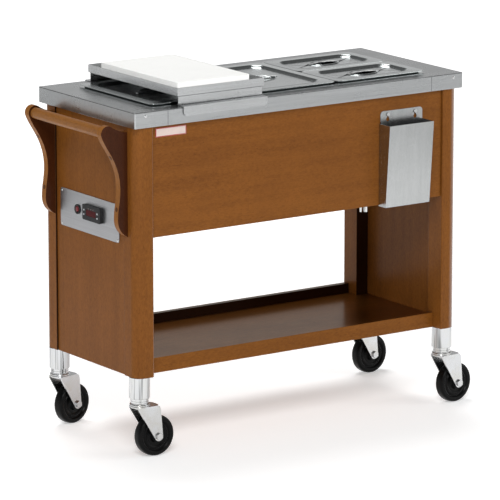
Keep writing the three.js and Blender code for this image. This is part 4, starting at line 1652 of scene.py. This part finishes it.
@dataclass
class Studio:
    """Floor, lights and camera."""

    azimuth: float = 34.487
    elevation: float = 12.592
    distance: float = 10.399
    lens: float = 306.7
    aim: Point = (-0.0027, 0.0171, 0.4147)
    floor_size: float = 60.0
    glow_near: float = 0.40
    glow_far: float = 0.95
    glow_reach: tuple[float, float] = (0.9, 6.0)
    view_end: float = 200.0
    sky: tuple[tuple[float, float], ...] = (
        (0.0, 0.85), (0.12, 0.74), (0.24, 0.52), (0.42, 0.22), (0.6, 0.10), (1.0, 0.16),
    )
    card_list: tuple[Card, ...] = (
        Card((2.6, 4.5), (-2.6, 2.2, 0.03), 0.52),
        Card((3.4, 3.6), (2.9, -2.6, 0.03), 0.90),
    )
    lamp_list: tuple[Lamp, ...] = (
        Lamp("key", (-3.2, -4.2, 4.4), 2.4, 205),
        Lamp("fill", (4.5, -3.6, 2.6), 3.0, 60),
        Lamp("top", (0.4, 1.6, 4.6), 2.6, 120),
    )

    def build(self) -> None:
        """Builds the studio."""
        self.camera()
        self.floor()
        self.cards()
        self.lights()

    def camera(self) -> None:
        """Sets the camera on its line of sight."""
        data = bpy.data.cameras.new("camera")
        data.lens = self.lens
        data.clip_end = self.view_end
        camera = bpy.data.objects.new("camera", data)
        bpy.context.scene.collection.objects.link(camera)
        turn, rise = math.radians(self.azimuth), math.radians(self.elevation)
        level = math.cos(rise)
        back = Vector((-math.sin(turn) * level, -math.cos(turn) * level, math.sin(rise)))
        camera.location = Vector(self.aim) + back * self.distance
        camera.rotation_euler = (math.pi / 2 - rise, 0, -turn)
        bpy.context.scene.camera = camera

    def floor(self) -> None:
        """A wide pale floor that glows, less near the trolley and more further out, which lifts the shadows on it
        and whitens the far floor.
        """
        deselect()
        bpy.ops.mesh.primitive_plane_add(size=self.floor_size, location=(0, 0, 0))
        floor = named("studio_floor")
        paper = Recipe("studio_paper")
        cloud = paper.noise(paper.place(), 0.6, 2.0)
        tone = paper.mix(cloud, (0.93, 0.93, 0.93), (0.95, 0.95, 0.95))
        x, y, _ = paper.split(paper.place())
        distance = (x * x + y * y) ** 0.5
        share = distance.smoothed(*self.glow_reach)
        glow = paper.mix(share, (self.glow_near,) * 3, (self.glow_far,) * 3)
        floor.data.materials.append(paper.finish(
            Base_Color=tone, Roughness=0.9, Emission_Color=glow, Emission_Strength=1.0,
        ))

    def cards(self) -> None:
        """Toned cards on the floor, out of the picture, that the steel mirrors."""
        turn = Matrix.Rotation(-math.radians(self.azimuth), 4, "Z")
        for number, card in enumerate(self.card_list, 1):
            deselect()
            bpy.ops.mesh.primitive_plane_add(size=1.0, location=(0, 0, 0))
            sheet = named(f"studio_card_{number}")
            with Editing(sheet):
                bpy.ops.mesh.select_all(action="SELECT")
                bpy.ops.transform.resize(value=(*card.size, 1))
            settled(sheet, Matrix.Translation(card.place) @ turn)
            felt = Recipe(f"studio_felt_{number}")
            nap = felt.noise(felt.place(), 60.0, 2.0)
            shade = felt.mix(nap, (card.tone,) * 3, (card.tone * 0.8,) * 3)
            sheet.data.materials.append(felt.finish(Base_Color=shade, Roughness=0.9))

    def lights(self) -> None:
        """A bright surround that darkens overhead, and soft lamps."""
        world = bpy.data.worlds.new("studio_world")
        bpy.context.scene.world = world
        world.use_nodes = True
        tree = world.node_tree
        point = tree.nodes.new("ShaderNodeTexCoord")
        split = tree.nodes.new("ShaderNodeSeparateXYZ")
        ramp = tree.nodes.new("ShaderNodeValToRGB")
        fill_stops(ramp, [(place, (tone, tone, tone)) for place, tone in self.sky])
        shade = next(node for node in tree.nodes if node.type == "BACKGROUND")
        tree.links.new(point.outputs["Generated"], split.inputs[0])
        tree.links.new(split.outputs[2], ramp.inputs[0])
        tree.links.new(ramp.outputs[0], shade.inputs[0])
        for lamp in self.lamp_list:
            self._hang(lamp)

    def _hang(self, lamp: Lamp) -> None:
        """Hangs a lamp so that it looks at the trolley.

        Args:
            lamp: the lamp.
        """
        data = bpy.data.lights.new(lamp.name, "AREA")
        data.shape = "DISK"
        data.size = lamp.width
        data.energy = lamp.power
        light = bpy.data.objects.new(lamp.name, data)
        bpy.context.scene.collection.objects.link(light)
        light.location = lamp.place
        sight = Vector(self.aim) - light.location
        light.rotation_euler = sight.to_track_quat("-Z", "Y").to_euler()


def main() -> None:
    """Builds the studio and every sub-assembly, in order."""
    logging.basicConfig(level=logging.INFO, format="%(name)s: %(message)s")
    bpy.context.scene.view_settings.view_transform = "Standard"
    for part in (Studio(), WoodBody(), PushHandle(), Worktop(), Pans(), ControlPanel(), Pocket(),
                 Services(), Casters()):
        part.build()


if __name__ == "__main__":
    main()
